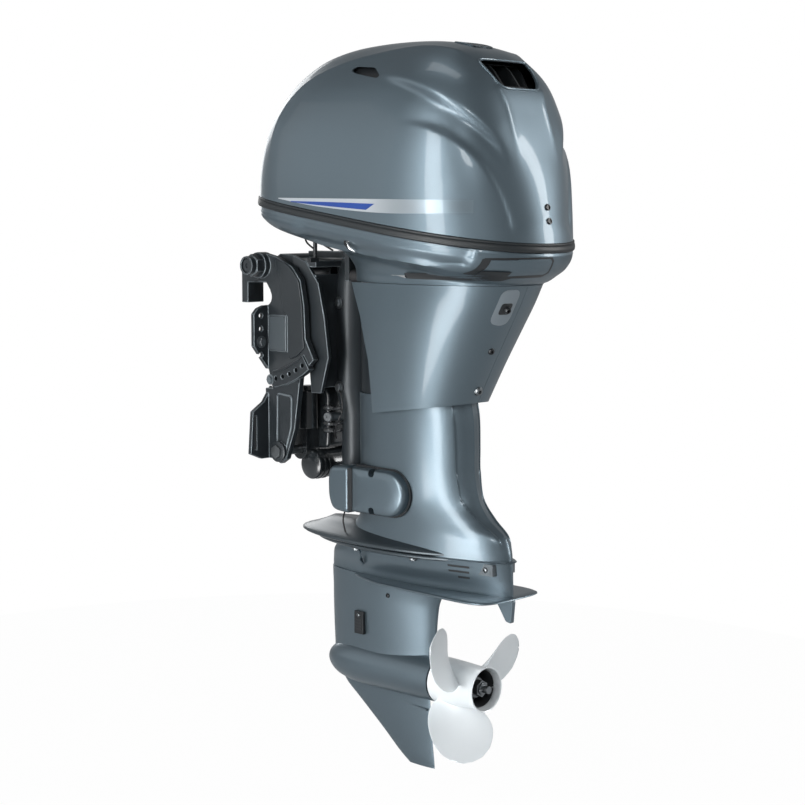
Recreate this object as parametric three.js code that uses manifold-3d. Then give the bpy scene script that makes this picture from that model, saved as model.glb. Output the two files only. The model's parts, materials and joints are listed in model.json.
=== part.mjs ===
// A three-cylinder long-shaft outboard motor with remote steering and power trim and tilt.
// Millimetres. +X points aft, +Y to starboard, +Z up. The origin is the middle of the
// transom's top edge on its aft face, where the two clamp brackets hang on the boat.
import * as THREE from 'three';
import { mergeVertices } from 'three/addons/utils/BufferGeometryUtils.js';
import Module from 'manifold-3d';

// ---------------------------------------------------------------- driving dimensions
const gap = 0.3;                 // left between pieces that touch
const wall = 4;                  // moulded covers
const castWall = 5;              // cast casings
const tiltX = -8;                // tilt tube axis, across the boat
const tiltZ = 36;
const tiltTubeR = 14;
const steerX = 138;              // steering axis
const pivotR = 14;               // steering pivot shaft
const swivelR = 27;              // swivel bracket's tube
const swivelHalf = 92;           // half the swivel bracket's width
const bracketInner = 98;         // inner face of each clamp bracket
const bracketPlate = 12;         // its side plate
const flangeReach = 36;          // its bolting flange, outboard of the side plate
const transomThroat = 60;        // room under the hooks for the transom
const hookInner = 59;            // inner side of each hook
const lowerPivot = [42, -320];   // lower cross shaft
const crossShaftR = 9;
const cylinderR = 24;            // tilt cylinder
const ramR = 9;
const ramPin = [75, -60];        // ram's upper pin
const crankX = 240;              // crankshaft and drive shaft axis
const driveShaftR = 10;
const cowlHalf = 190;            // half the cowl's width
const sealHeight = 17;
const casingJoint = -485;        // upper casing meets lower casing: sets the shaft length
const bulletR = 44;              // gearcase torpedo
const gearR = 32;                // forward and reverse gears' pitch radius
const propShaftR = 11;
const propR = 143;               // propeller, 11 1/4 inch
const propPitch = 330;           // 13 inch
const flywheelR = 108;

const bracketOuter = bracketInner + bracketPlate;
const plateTop = casingJoint - 64;
const propZ = casingJoint - 245;
const hubFront = 366;
const hubAft = 475;
const guideTop = 32;             // powerhead sits on the exhaust guide
const apronTop = 10;

const paint = { color: 0x5d7180, roughness: 0.35, metalness: 0.6 };
const black = { color: 0x1b2024, roughness: 0.45, metalness: 0.3 };
const alloy = { color: 0x9aa2a8, roughness: 0.5, metalness: 0.8 };
const steel = { color: 0xb8bcc0, roughness: 0.3, metalness: 1 };
const rubber = { color: 0x17191b, roughness: 0.9, metalness: 0 };
const silver = { color: 0xd2d8da, roughness: 0.4, metalness: 0.3 };
const bronze = { color: 0xb08d57, roughness: 0.45, metalness: 1 };

// ---------------------------------------------------------------- solids
const wasm = await Module();
wasm.setup();

// A closed geometry as a solid, turned the right way out.
function solidOf(geometry) {
  const bare = geometry.clone();
  bare.deleteAttribute('normal');
  bare.deleteAttribute('uv');
  const merged = mergeVertices(bare, 1e-4);
  const vertProperties = new Float32Array(merged.attributes.position.array);
  const triVerts = new Uint32Array(merged.index.array);
  const corner = (i) => new THREE.Vector3().fromArray(vertProperties, 3 * triVerts[i]);
  let volume = 0;
  for (let i = 0; i < triVerts.length; i += 3) {
    volume += corner(i).dot(corner(i + 1).cross(corner(i + 2)));
  }
  if (volume < 0) {
    for (let i = 0; i < triVerts.length; i += 3) {
      [triVerts[i], triVerts[i + 1]] = [triVerts[i + 1], triVerts[i]];
    }
  }
  return new wasm.Manifold(new wasm.Mesh({ numProp: 3, vertProperties, triVerts }));
}

const join = (...solids) => solids.reduce((sum, solid) => sum.add(solid));
const cut = (solid, ...tools) => tools.reduce((rest, tool) => rest.subtract(tool), solid);

function box(x0, x1, y0, y1, z0, z1) {
  const geometry = new THREE.BoxGeometry(x1 - x0, y1 - y0, z1 - z0);
  return solidOf(geometry.translate((x0 + x1) / 2, (y0 + y1) / 2, (z0 + z1) / 2));
}

// A round bar between two points, or a cone when the second radius differs.
function rod(from, to, radius, segments = 16, endRadius = radius) {
  const a = new THREE.Vector3(...from);
  const b = new THREE.Vector3(...to);
  const along = b.clone().sub(a);
  const geometry = new THREE.CylinderGeometry(endRadius, radius, along.length(), segments);
  const turn = new THREE.Quaternion().setFromUnitVectors(new THREE.Vector3(0, 1, 0), along.normalize());
  geometry.applyQuaternion(turn);
  return solidOf(geometry.translate(...a.add(b).multiplyScalar(0.5).toArray()));
}

const ring = (from, to, outer, inner, segments = 24) => {
  const way = new THREE.Vector3(...to).sub(new THREE.Vector3(...from)).setLength(1).toArray();
  const low = from.map((v, i) => v - way[i]);
  const high = to.map((v, i) => v + way[i]);
  return cut(rod(from, to, outer, segments), rod(low, high, inner, Math.max(segments, 18)));
};

// A flat outline extruded: 'y' takes [x, z] points, 'z' takes [x, y], 'x' takes [y, z].
function plate(points, axis, from, to) {
  const shape = new THREE.Shape(points.map(([u, v]) => new THREE.Vector2(u, v)));
  const geometry = new THREE.ExtrudeGeometry(shape, { depth: to - from, bevelEnabled: false });
  const place = new THREE.Matrix4();
  if (axis === 'y') place.set(1, 0, 0, 0, 0, 0, 1, from, 0, 1, 0, 0, 0, 0, 0, 1);
  if (axis === 'z') place.set(1, 0, 0, 0, 0, 1, 0, 0, 0, 0, 1, from, 0, 0, 0, 1);
  if (axis === 'x') place.set(0, 0, 1, from, 1, 0, 0, 0, 0, 1, 0, 0, 0, 0, 0, 1);
  return solidOf(geometry.applyMatrix4(place));
}

// A profile of [radius, height] points turned about an axis through at.
function turned(profile, axis, at, segments = 32) {
  const geometry = new THREE.LatheGeometry(profile.map(([r, h]) => new THREE.Vector2(r, h)), segments);
  if (axis === 'x') geometry.rotateZ(-Math.PI / 2);
  if (axis === 'z') geometry.rotateX(Math.PI / 2);
  return solidOf(geometry.translate(...at));
}

// Rings of the same number of points, skinned, with both ends closed.
function loft(rings) {
  const count = rings[0].length;
  const positions = rings.flat(2);
  const index = [];
  for (let k = 0; k + 1 < rings.length; k += 1) {
    for (let i = 0; i < count; i += 1) {
      const a = k * count + i;
      const b = k * count + (i + 1) % count;
      index.push(a, b, a + count, b, b + count, a + count);
    }
  }
  for (const [start, flip] of [[0, true], [(rings.length - 1) * count, false]]) {
    const end = rings[start / count];
    const hub = positions.length / 3;
    for (let axis = 0; axis < 3; axis += 1) {
      positions.push(end.reduce((sum, point) => sum + point[axis], 0) / count);
    }
    for (let i = 0; i < count; i += 1) {
      const pair = [start + i, start + (i + 1) % count];
      index.push(...(flip ? pair.reverse() : pair), hub);
    }
  }
  const geometry = new THREE.BufferGeometry();
  geometry.setAttribute('position', new THREE.BufferAttribute(new Float32Array(positions), 3));
  geometry.setIndex(index);
  return solidOf(geometry);
}

// One level of a cover: a superellipse, blunt at the front and finer aft, on a sloping plane.
function level({ front, aft, half, zFront, zAft, blunt = 4, fine = 2.4 }, count = 36) {
  const middle = front + 0.52 * (aft - front);
  return Array.from({ length: count }, (_, i) => {
    const t = (2 * Math.PI * (i + 0.5)) / count;
    const [c, s] = [Math.cos(t), Math.sin(t)];
    const power = 2 / (c < 0 ? blunt : fine);
    const reach = c < 0 ? middle - front : aft - middle;
    const x = middle + reach * Math.sign(c) * Math.abs(c) ** power;
    const y = half * Math.sign(s) * Math.abs(s) ** power;
    const z = zFront + ((zAft - zFront) * (x - front)) / (aft - front);
    return [x, y, z];
  });
}

const shrink = (levels, by) => levels.map((l) => ({
  ...l, front: l.front + by, aft: l.aft - by, half: l.half - by,
}));
const shift = (l, dz) => ({ ...l, zFront: l.zFront + dz, zAft: l.zAft + dz });
const skin = (levels, count) => loft(levels.map((l) => level(l, count)));

const group = new THREE.Group();

// Puts a finished solid in the model as one named mesh.
function node(name, solid, look) {
  const { vertProperties, triVerts } = solid.getMesh();
  const geometry = new THREE.BufferGeometry();
  geometry.setAttribute('position', new THREE.BufferAttribute(new Float32Array(vertProperties), 3));
  geometry.setIndex(new THREE.BufferAttribute(new Uint32Array(triVerts), 1));
  geometry.computeVertexNormals();
  const mesh = new THREE.Mesh(geometry, new THREE.MeshStandardMaterial(look));
  mesh.name = name;
  group.add(mesh);
}

const sides = [['port', -1], ['starboard', 1]];
const mirrorY = (solid, side) => (side < 0 ? solid : solid.mirror([0, 1, 0]));

// ---------------------------------------------------------------- cowl
// Levels from the seam up; the seam slopes down aft.
const seamFront = 164;
const seamAft = 75;
const cowlLevels = [
  { front: -5, aft: 618, half: cowlHalf, zFront: seamFront + 9, zAft: seamAft + 9, fine: 2.3 },
  { front: 0, aft: 609, half: cowlHalf + 1, zFront: 215, zAft: 135, fine: 2.4 },
  { front: 12, aft: 596, half: cowlHalf - 2, zFront: 258, zAft: 195, fine: 2.6 },
  { front: 30, aft: 578, half: cowlHalf - 10, zFront: 295, zAft: 245, fine: 2.8 },
  { front: 50, aft: 556, half: cowlHalf - 22, zFront: 330, zAft: 298, fine: 3, blunt: 3.6 },
  { front: 72, aft: 532, half: cowlHalf - 38, zFront: 362, zAft: 350, fine: 3, blunt: 3.4 },
  { front: 98, aft: 505, half: cowlHalf - 56, zFront: 388, zAft: 384, fine: 3, blunt: 3.2 },
  { front: 130, aft: 470, half: cowlHalf - 78, zFront: 412, zAft: 412, fine: 2.8, blunt: 3 },
  { front: 175, aft: 425, half: cowlHalf - 110, zFront: 431, zAft: 431, fine: 2.6, blunt: 2.6 },
  { front: 235, aft: 375, half: cowlHalf - 145, zFront: 443, zAft: 443, fine: 2.2, blunt: 2.2 },
];
const cowlOuter = skin(cowlLevels);
const cowlInner = skin([shift(cowlLevels[0], -6), ...cowlLevels.slice(1)].map(
  (l, i) => shift(shrink([l], wall)[0], (-wall * i) / (cowlLevels.length - 1)),
));
const vent = { topZ: 396, bottomZ: 353, topHalf: 62, bottomHalf: 47, front: 470 };
const ventTrapezoid = (grow) => [
  [-vent.topHalf - grow, vent.topZ + grow], [vent.topHalf + grow, vent.topZ + grow],
  [vent.bottomHalf + grow, vent.bottomZ - grow], [-vent.bottomHalf - grow, vent.bottomZ - grow],
];
const ventOpening = plate(ventTrapezoid(0), 'x', vent.front, 600);
const sideSlot = { x: 330, z: 376, length: 56, height: 7, lean: 0.27 };
const slotTool = solidOf(new THREE.BoxGeometry(sideSlot.length, 3 * cowlHalf, sideSlot.height)
  .rotateY(sideSlot.lean).translate(sideSlot.x, 0, sideSlot.z));
node('top_cowl', cut(cowlOuter, cowlInner, ventOpening, slotTool), paint);

// The air intake duct fills the vent: a tray open aft, with two upright ribs.
const ductWall = 2.5;
const ductBox = plate(ventTrapezoid(-gap), 'x', vent.front - 25, 600);
const ductRoom = plate(ventTrapezoid(-gap - ductWall), 'x', vent.front - 25 + ductWall, 620);
const ductRib = (y) => box(vent.front - 22, 600, y - 2, y + 2, vent.bottomZ + 1, vent.topZ - 1);
const ductTrim = skin(shrink(cowlLevels, 1.5));
node('intake_duct', join(cut(ductBox, ductRoom), ductRib(-22), ductRib(22)).intersect(ductTrim), black);

// The seal is a band standing 1.5 mm proud between the two cowls.
const sealBand = (grow, dz) => ({
  ...cowlLevels[0], front: -5 - grow, aft: 618 + grow, half: cowlHalf + grow,
  zFront: seamFront + dz, zAft: seamAft + dz,
});
const sealTop = 9 - gap;
const sealLow = sealTop - sealHeight + gap;
node('cowl_seal', cut(
  skin([sealBand(1.5, sealLow), sealBand(1.5, sealTop)]),
  skin([sealBand(-9, sealLow - 5), sealBand(-9, sealTop + 5)]),
), rubber);

// Bottom cowl: the bulge under the seam turns in to a skirt above the aprons.
const bottomLevels = [
  { front: -5, aft: 618, half: cowlHalf, zFront: seamFront + sealLow - gap, zAft: seamAft + sealLow - gap, fine: 2.3 },
  { front: 2, aft: 614, half: cowlHalf - 2, zFront: 134, zAft: 48, fine: 2.3 },
  { front: 30, aft: 604, half: cowlHalf - 16, zFront: 112, zAft: 34, fine: 2.3, blunt: 3.6 },
  { front: 95, aft: 588, half: cowlHalf - 42, zFront: 92, zAft: 22, fine: 2.4, blunt: 3 },
  { front: 150, aft: 575, half: 125, zFront: 80, zAft: 13, fine: 2.6, blunt: 2.6 },
  { front: 186, aft: 566, half: 113, zFront: apronTop, zAft: apronTop, fine: 2.6, blunt: 2.6 },
];
const bottomOuter = skin(bottomLevels);
const bottomRoom = (by) => skin(shrink([shift(bottomLevels[0], 8),
  ...bottomLevels.slice(1, -1).map((l) => shift(l, wall)), shift(bottomLevels.at(-1), -8)], by));
const bottomInner = bottomRoom(wall);
const yokeDoor = box(120, 240, -78, 78, -10, 70);    // lets the steering yoke in to the upper mounts
node('bottom_cowl', cut(bottomOuter, bottomInner, yokeDoor), paint);

// Rear latch lever: a curved plate lying on the bottom cowl's port quarter.
const leverGrow = 4;
const leverZone = box(500, 640, -112, -4, 28, 58);
node('rear_latch_lever', cut(skin(shrink(bottomLevels, -leverGrow)), skin(shrink(bottomLevels, -gap - 0.2)))
  .intersect(leverZone), paint);

// Front latch hook, hung under the bulge on the port side.
const hookX = 150;
const hookY = 72 - cowlHalf;
const hookTop = 82.6;
node('front_latch_hook', join(
  rod([hookX, hookY, 48], [hookX, hookY, hookTop], 4, 12),
  box(hookX - 5, hookX + 5, hookY - 16, hookY + 5, 45, 53),
), black);

// ---------------------------------------------------------------- aprons and casing
const apronLevels = [
  { front: 160, aft: 566, half: 112.5, zFront: apronTop - gap, zAft: apronTop - gap, fine: 2.6, blunt: 3 },
  { front: 160, aft: 524, half: 104, zFront: -70, zAft: -70, fine: 2.5, blunt: 3 },
  { front: 160, aft: 485, half: 93, zFront: -139, zAft: -139, fine: 2.5, blunt: 3 },
  { front: 160, aft: 450, half: 78, zFront: -245, zAft: -205, fine: 2.6, blunt: 3 },
];
const apronShell = cut(skin(apronLevels), skin([shift(apronLevels[0], 6), ...apronLevels.slice(1, -1),
  shift(apronLevels.at(-1), -6)].map((l) => shrink([l], wall)[0])));
// Everything ahead of the aprons' swept front edge.
const apronFront = plate([[100, 60], [222, 60], [226, 12], [250, -51], [262, -133], [258, -260], [100, -260]],
  'y', -300, 300);
for (const [side, sign] of sides) {
  const half = box(100, 700, sign < 0 ? -200 : gap, sign < 0 ? -gap : 200, -300, 100);
  node(`apron_${side}`, cut(apronShell, apronFront).intersect(half), paint);
}

// Oil pan: the black casting between the powerhead and the upper casing.
const panTop = 6;
const casingTop = -200;
const panLevels = [
  { front: 170, aft: 440, half: 66, zFront: panTop, zAft: panTop, blunt: 2.2 },
  { front: 170, aft: 432, half: 64, zFront: casingTop + gap, zAft: casingTop + gap, blunt: 2.2 },
];
const shaftWell = (z0, z1) => rod([crankX, 0, z0], [crankX, 0, z1], driveShaftR + 4, 20);
const shiftX = crankX - 48;         // shift rod, ahead of the drive shaft
const shiftR = 4;
const shiftWell = (z0, z1, clear = 3) => rod([shiftX, 0, z0], [shiftX, 0, z1], shiftR + clear, 12);
node('oil_pan', cut(skin(panLevels, 18), box(crankX + 24, 425, -46, 46, casingTop - 4, panTop - 8),
  shaftWell(casingTop - 9, panTop + 9), shiftWell(casingTop - 9, panTop + 9)), black);

// Upper casing with the splash plate round its foot.
const footZ = casingJoint + gap;
const casingLevels = [
  { front: 172, aft: 436, half: 66, zFront: casingTop, zAft: casingTop, blunt: 2.6, fine: 2.1 },
  { front: 172, aft: 443, half: 66, zFront: -240, zAft: -240, blunt: 2.6, fine: 2.1 },
  { front: 172, aft: 445, half: 64, zFront: casingJoint + 150, zAft: casingJoint + 150, blunt: 2.6, fine: 2.1 },
  { front: 171, aft: 458, half: 62, zFront: casingJoint + 100, zAft: casingJoint + 100, blunt: 2.6, fine: 2 },
  { front: 170, aft: 484, half: 60, zFront: casingJoint + 67, zAft: casingJoint + 67, blunt: 2.5, fine: 2.2 },
  { front: 158, aft: 518, half: 60, zFront: casingJoint + 42, zAft: casingJoint + 42, blunt: 2.4, fine: 2 },
  { front: 112, aft: 530, half: 60, zFront: footZ, zAft: footZ, blunt: 2.3, fine: 1.9 },
];
const casingRoom = skin([shift(casingLevels[0], 9), ...casingLevels.slice(1, -1), shift(casingLevels.at(-1), -9)]
  .map((l) => shrink([l], castWall)[0]), 18);
const splash = (nose, tail, half, z) => loft([
  level({ front: nose, aft: tail, half, zFront: z, zAft: z, blunt: 1.7, fine: 2.2 }, 20),
  level({ front: nose + 3, aft: tail, half: half - 1, zFront: z + 5, zAft: z + 5, blunt: 1.7, fine: 2.2 }, 20),
]);
const casingBody = join(skin(casingLevels, 20), splash(-5, 475, 84, casingJoint + 3));
node('upper_casing', cut(casingBody, casingRoom), paint);

// Exhaust guide: the plate that carries the powerhead, with the upper mounts' bores in front.
const guideLevels = [
  { front: 183, aft: 470, half: 92, zFront: panTop + gap, zAft: panTop + gap, blunt: 2.2, fine: 3 },
  { front: 183, aft: 470, half: 92, zFront: guideTop, zAft: guideTop, blunt: 2.2, fine: 3 },
];
const mountY = 52;
const mountZ = 19;
const mountBore = (y) => rod([180, y, mountZ], [252, y, mountZ], 12, 20);
const guideTabs = box(340, 400, -cowlHalf, cowlHalf, 14, 26).intersect(bottomRoom(wall + 2 * gap));
node('exhaust_guide', cut(join(skin(guideLevels, 24), guideTabs),
  mountBore(-mountY), mountBore(mountY), shaftWell(0, 60), shiftWell(0, 60, gap)), alloy);
for (const [side, sign] of sides) {
  const y = sign * mountY;
  node(`upper_mount_${side}`, ring([184, y, mountZ], [250, y, mountZ], 12 - gap, 6 + gap, 20), rubber);
}

// Lower mounts: rubber blocks beside the casing under D-shaped covers.
const mountLow = casingJoint + 62;
const mountHigh = casingJoint + 150;
const coverOuter = 82;
const lowerMountZ = (mountLow + mountHigh) / 2;
const dShape = (grow) => {
  const half = (mountHigh - mountLow) / 2 - 2 + grow;
  const points = [[210 - grow, lowerMountZ + half], [210 - grow, lowerMountZ - half]];
  for (let i = 0; i <= 8; i += 1) {
    const t = -Math.PI / 2 + (Math.PI * i) / 8;
    points.push([298 + grow + half * Math.cos(t), lowerMountZ + half * Math.sin(t)]);
  }
  return points;
};
const casingGrown = skin(casingLevels.map((l) => ({ ...l, half: l.half + 2 * gap })), 20);
const lowerMountR = 7;
const lowerMountY = coverOuter - 3.2 - lowerMountR - gap;
for (const [side, sign] of sides) {
  const [near, far] = sign < 0 ? [-coverOuter, -50] : [50, coverOuter];
  const [low, high] = sign < 0 ? [-coverOuter + 3.2, -40] : [40, coverOuter - 3.2];
  node(`lower_mount_cover_${side}`, cut(plate(dShape(0), 'y', near, far), plate(dShape(-5), 'y', low, high),
    casingGrown), black);
  node(`lower_mount_${side}`, rod([216, sign * lowerMountY, lowerMountZ], [280, sign * lowerMountY, lowerMountZ],
    lowerMountR, 16), rubber);
}

// ---------------------------------------------------------------- lower casing
const bulletProfile = [[0, 0], [14, 6], [26, 20], [36, 42], [42, 74], [bulletR, 110], [bulletR, 240],
  [bulletR - 1, 292], [0, 292]];
const bulletNose = 70;
const bulletEnd = bulletNose + 292;
const strutLevels = [
  { front: 108, aft: 532, half: 58, zFront: casingJoint, zAft: casingJoint, blunt: 2.3, fine: 1.9 },
  { front: 84, aft: 534, half: 50, zFront: casingJoint - 30, zAft: casingJoint - 30, blunt: 2.2, fine: 1.8 },
  { front: 78, aft: 536, half: 42, zFront: plateTop, zAft: plateTop, blunt: 2.1, fine: 1.7 },
];
const finLevels = [
  { front: 78, aft: 370, half: 40, zFront: plateTop + 2, zAft: plateTop + 2, blunt: 2.1, fine: 1.8 },
  { front: 79, aft: 352, half: 35, zFront: plateTop - 60, zAft: plateTop - 60, blunt: 2.1, fine: 1.8 },
  { front: 82, aft: 346, half: 30, zFront: propZ + 20, zAft: propZ + 20, blunt: 2.1, fine: 1.8 },
];
const ventPlate = plate([[130, 0], [180, -52], [260, -78], [500, -86], [538, -76], [544, 0], [538, 76],
  [500, 86], [260, 78], [180, 52]], 'z', plateTop - 6, plateTop);
const lowerFlange = splash(50, 470, 74, casingJoint - 7.5);
const skeg = plate([[96, propZ - 20], [112, propZ - 48], [210, propZ - 122], [279, propZ - 177],
  [346, propZ - 174], [341, propZ - 135], [330, propZ - 30]], 'y', -4.5, 4.5);
const gearRoom = join(
  rod([120, 0, propZ], [bulletEnd + 2, 0, propZ], gearR + 3, 20),
  rod([crankX, 0, propZ], [crankX, 0, casingJoint + 4], driveShaftR + 4, 20),
  rod([crankX, 0, propZ], [crankX, 0, propZ + gearR + 22], 20, 20),
  rod([shiftX, 0, propZ], [shiftX, 0, propZ + gearR + 9], shiftR + 3, 12),
);
const shiftRoom = shiftWell(propZ + gearR, casingJoint + 4);
const exhaustRoom = join(
  box(crankX + 26, 330, -14, 14, propZ + gearR - 4, casingJoint + 4),
  box(300, 470, -22, 22, casingJoint - 44, casingJoint + 4),
);
const inletHalf = 22;
const inletX = 182;
const inletZ = plateTop - 96;
node('lower_casing', cut(
  join(skin(strutLevels, 20), skin(finLevels, 20), ventPlate, lowerFlange, skeg,
    turned(bulletProfile, 'x', [bulletNose, 0, propZ], 32)),
  gearRoom, shiftRoom, exhaustRoom,
), paint);

// Water inlet covers on the strut's sides.
const grown = (levels) => skin(levels.map((l) => ({ ...l, half: l.half + 2 * gap })), 20);
const beside = (sign, x0, x1, y0, y1, z0, z1) => (sign < 0 ? box(x0, x1, -y1, -y0, z0, z1) : box(x0, x1, y0, y1, z0, z1));
for (const [side, sign] of sides) {
  node(`water_inlet_${side}`, cut(beside(sign, inletX - 12, inletX + 12, 24, 39, inletZ - inletHalf,
    inletZ + inletHalf), grown(finLevels)), paint);
  node(`anode_${side}`, cut(beside(sign, 480, 514, 10, 31, casingJoint - 26, casingJoint - 5),
    grown(strutLevels)), alloy);
}

// Trim tab under the anti-ventilation plate, behind the propeller.
node('trim_tab', join(
  rod([505, 0, plateTop - 6 - gap], [505, 0, plateTop - 16], 20, 20),
  plate([[480, plateTop - 14], [529, plateTop - 14], [529, plateTop - 48], [516, plateTop - 46]], 'y', -3.5, 3.5),
), paint);

// ---------------------------------------------------------------- gear train
// A bevel gear as a toothed frustum: teeth run on its pitch cone, 0.5 mm inside it.
function bevel(teeth, pitchR, along, width, bore) {
  const apexDistance = along;
  const outline = (scale, height) => Array.from({ length: teeth * 2 }, (_, i) => {
    const t = (Math.PI * i) / teeth;
    const r = (pitchR - 0.5) * scale - (i % 2 ? 0 : 2.4 * scale);
    return [r * Math.cos(t), r * Math.sin(t), height];
  });
  const small = 1 - width / Math.hypot(pitchR, apexDistance);
  return cut(loft([outline(small, apexDistance * small), outline(1, apexDistance),
    outline(0.9, apexDistance + 5)]),
  rod([0, 0, -1], [0, 0, apexDistance + 9], bore, 20));
}
const pinionR = gearR / 2;
const place = (solid, turn, at) => {
  const m = new THREE.Matrix4().makeRotationFromEuler(new THREE.Euler(...turn));
  return solid.transform(m.setPosition(...at).elements);
};
const apex = [crankX, 0, propZ];
node('pinion', place(bevel(13, pinionR, gearR, 12, driveShaftR - 2 + gap), [0, 0, 0], apex), steel);
node('forward_gear', place(bevel(26, gearR, pinionR, 12, propShaftR + gap), [0, -Math.PI / 2, 0], apex), steel);
node('reverse_gear', place(bevel(26, gearR, pinionR, 12, propShaftR + gap), [0, Math.PI / 2, 0], apex), steel);

const gearBack = pinionR + 5;
node('forward_gear_bearing', ring([crankX - gearBack - gap - 14, 0, propZ], [crankX - gearBack - gap, 0, propZ],
  gearR + 3 - gap, propShaftR + gap, 20), steel);
node('bearing_carrier', join(
  ring([crankX + gearBack + gap, 0, propZ], [crankX + gearBack + 30, 0, propZ], gearR + 3 - gap, propShaftR + gap, 20),
  ring([crankX + gearBack + 29, 0, propZ], [bulletEnd - 8, 0, propZ], 20, propShaftR + gap, 20),
  ring([bulletEnd - 12, 0, propZ], [bulletEnd + 0.5, 0, propZ], gearR + 3 - gap, propShaftR + gap, 20),
), alloy);
const clutchHalf = 7;
node('dog_clutch', ring([crankX - clutchHalf, 0, propZ], [crankX + clutchHalf, 0, propZ], propShaftR + 5,
  propShaftR + gap, 18), steel);
const nutStart = hubAft - 28;
node('propeller_shaft', join(
  rod([shiftX + shiftR + 1, 0, propZ], [nutStart + 20, 0, propZ], propShaftR, 18),
  rod([nutStart + 18, 0, propZ], [hubAft + 6, 0, propZ], propShaftR - 4, 20),
), steel);
const pinionTop = propZ + gearR + 5;
node('drive_shaft', join(
  rod([crankX, 0, propZ + gearR - 8], [crankX, 0, pinionTop + gap], driveShaftR - 2, 20),
  rod([crankX, 0, pinionTop + gap], [crankX, 0, guideTop + 4], driveShaftR, 20),
), steel);
node('shift_rod', join(
  rod([shiftX, 0, propZ + 6], [shiftX, 0, guideTop + 14], shiftR, 12),
  box(shiftX - 4, shiftX + 4, -4, 16, guideTop + 7, guideTop + 13),
), steel);
const pumpZ = casingJoint + 1;
node('water_pump_housing', cut(
  rod([crankX, 0, pumpZ], [crankX, 0, pumpZ + 40], 34, 20, 28),
  rod([crankX, 0, pumpZ - 1], [crankX, 0, pumpZ + 26], 26, 20),
  rod([crankX, 0, pumpZ], [crankX, 0, pumpZ + 50], driveShaftR + 1, 20),
  shiftWell(pumpZ - 5, pumpZ + 50),
), black);
const vane = (i) => {
  const [c, s] = [Math.cos((i * Math.PI) / 3), Math.sin((i * Math.PI) / 3)];
  return rod([crankX + 12 * c, 12 * s, pumpZ + 14], [crankX + 24 * c, 24 * s, pumpZ + 14], 4, 8);
};
node('pump_impeller', cut(
  join(rod([crankX, 0, pumpZ + 5], [crankX, 0, pumpZ + 24], 15, 18), ...[0, 1, 2, 3, 4, 5].map(vane)),
  rod([crankX, 0, pumpZ], [crankX, 0, pumpZ + 30], driveShaftR + gap, 20),
), rubber);

// ---------------------------------------------------------------- propeller
// One blade: thin sections on a helix, from inside the hub to the tip.
const bladeTable = [[0.25, 66, 9], [0.4, 102, 8], [0.55, 126, 6.5], [0.7, 134, 5.5], [0.85, 120, 4.5],
  [0.95, 84, 3.5], [1, 34, 2.5]];
const bladeMiddle = 412;
const bladeSection = ([share, chord, thick], turn) => {
  const r = share * propR;
  const pitch = Math.atan(propPitch / (2 * Math.PI * r));
  const points = [];
  for (let i = 0; i < 10; i += 1) {
    const t = (2 * Math.PI * (i + 0.5)) / 10;
    const s = (chord / 2) * Math.cos(t);
    const n = (thick / 2) * Math.sin(t);
    const angle = turn + (s * Math.cos(pitch) + n * Math.sin(pitch)) / r - 0.12 * share;
    const x = bladeMiddle + 0.24 * (r - bulletR) - s * Math.sin(pitch) + n * Math.cos(pitch);
    points.push([x, r * Math.sin(angle), propZ + r * Math.cos(angle)]);
  }
  return points;
};
const bladeStart = -0.76;
const blade = (k) => loft(bladeTable.map((row) => bladeSection(row, bladeStart + (k * 2 * Math.PI) / 3)));
const hubWall = 5;
const bushR = 21;
const hubProfile = [[0, 0], [bulletR - 1, 0], [bulletR - 2, 40], [bulletR - 5, 90], [bulletR - 2, hubAft - hubFront],
  [0, hubAft - hubFront]];
const hubRoom = rod([hubFront - 1, 0, propZ], [hubAft + 1, 0, propZ], bulletR - 5 - hubWall, 20);
const bushTube = rod([hubFront + 4, 0, propZ], [nutStart - 8, 0, propZ], bushR + 4, 20);
const spoke = (k) => {
  const angle = bladeStart + Math.PI / 3 + (k * 2 * Math.PI) / 3;
  const at = (r) => [hubFront + 34, r * Math.sin(angle), propZ + r * Math.cos(angle)];
  return rod(at(bushR + 1), at(bulletR - 8), 5, 10);
};
const hubShell = cut(join(turned(hubProfile, 'x', [hubFront, 0, propZ], 32), blade(0), blade(1), blade(2)), hubRoom);
node('propeller', cut(join(hubShell, bushTube, spoke(0), spoke(1), spoke(2)),
  rod([hubFront - 5, 0, propZ], [hubAft + 5, 0, propZ], bushR, 20)), silver);
node('propeller_bush', ring([hubFront + 6, 0, propZ], [nutStart - 10, 0, propZ], bushR - gap, propShaftR + gap, 20),
  rubber);
node('thrust_washer', ring([bulletEnd + 1, 0, propZ], [hubFront + 5.7, 0, propZ], 19, propShaftR + gap, 18), bronze);
node('propeller_nut', join(
  ring([nutStart - 9.7, 0, propZ], [nutStart + 4, 0, propZ], 19, propShaftR + gap, 18),
  ring([nutStart + 3, 0, propZ], [nutStart + 17, 0, propZ], 16, propShaftR + gap, 6),
), steel);

// ---------------------------------------------------------------- clamp brackets
const plateOutline = [[-24, 52], [-6, 60], [31, 53], [77, 35], [100, 10], [110, -38], [113, -100], [135, -139],
  [98, -172], [96, -186], [82, -274], [58, -334], [42, -344], [22, -338], [22, -206], [8, -160],
  [0, -118], [0, -52], [14, -34], [16, -12], [4, 4], [-20, 4]];
const crossShaftHole = (from, to) => rod([lowerPivot[0], from, lowerPivot[1]], [lowerPivot[0], to, lowerPivot[1]],
  crossShaftR + gap, 20);
const tubeHole = (from, to) => rod([tiltX, from, tiltZ], [tiltX, to, tiltZ], tiltTubeR + gap, 18);
const arcR = 220;
const arcHole = (k) => {
  const t = (-78.8 + 5.2 * k) * (Math.PI / 180);
  const [x, z] = [tiltX + arcR * Math.cos(t), tiltZ + arcR * Math.sin(t)];
  return rod([x, -bracketOuter - 9, z], [x, -bracketInner + 9, z], 4.5, 12);
};
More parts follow.
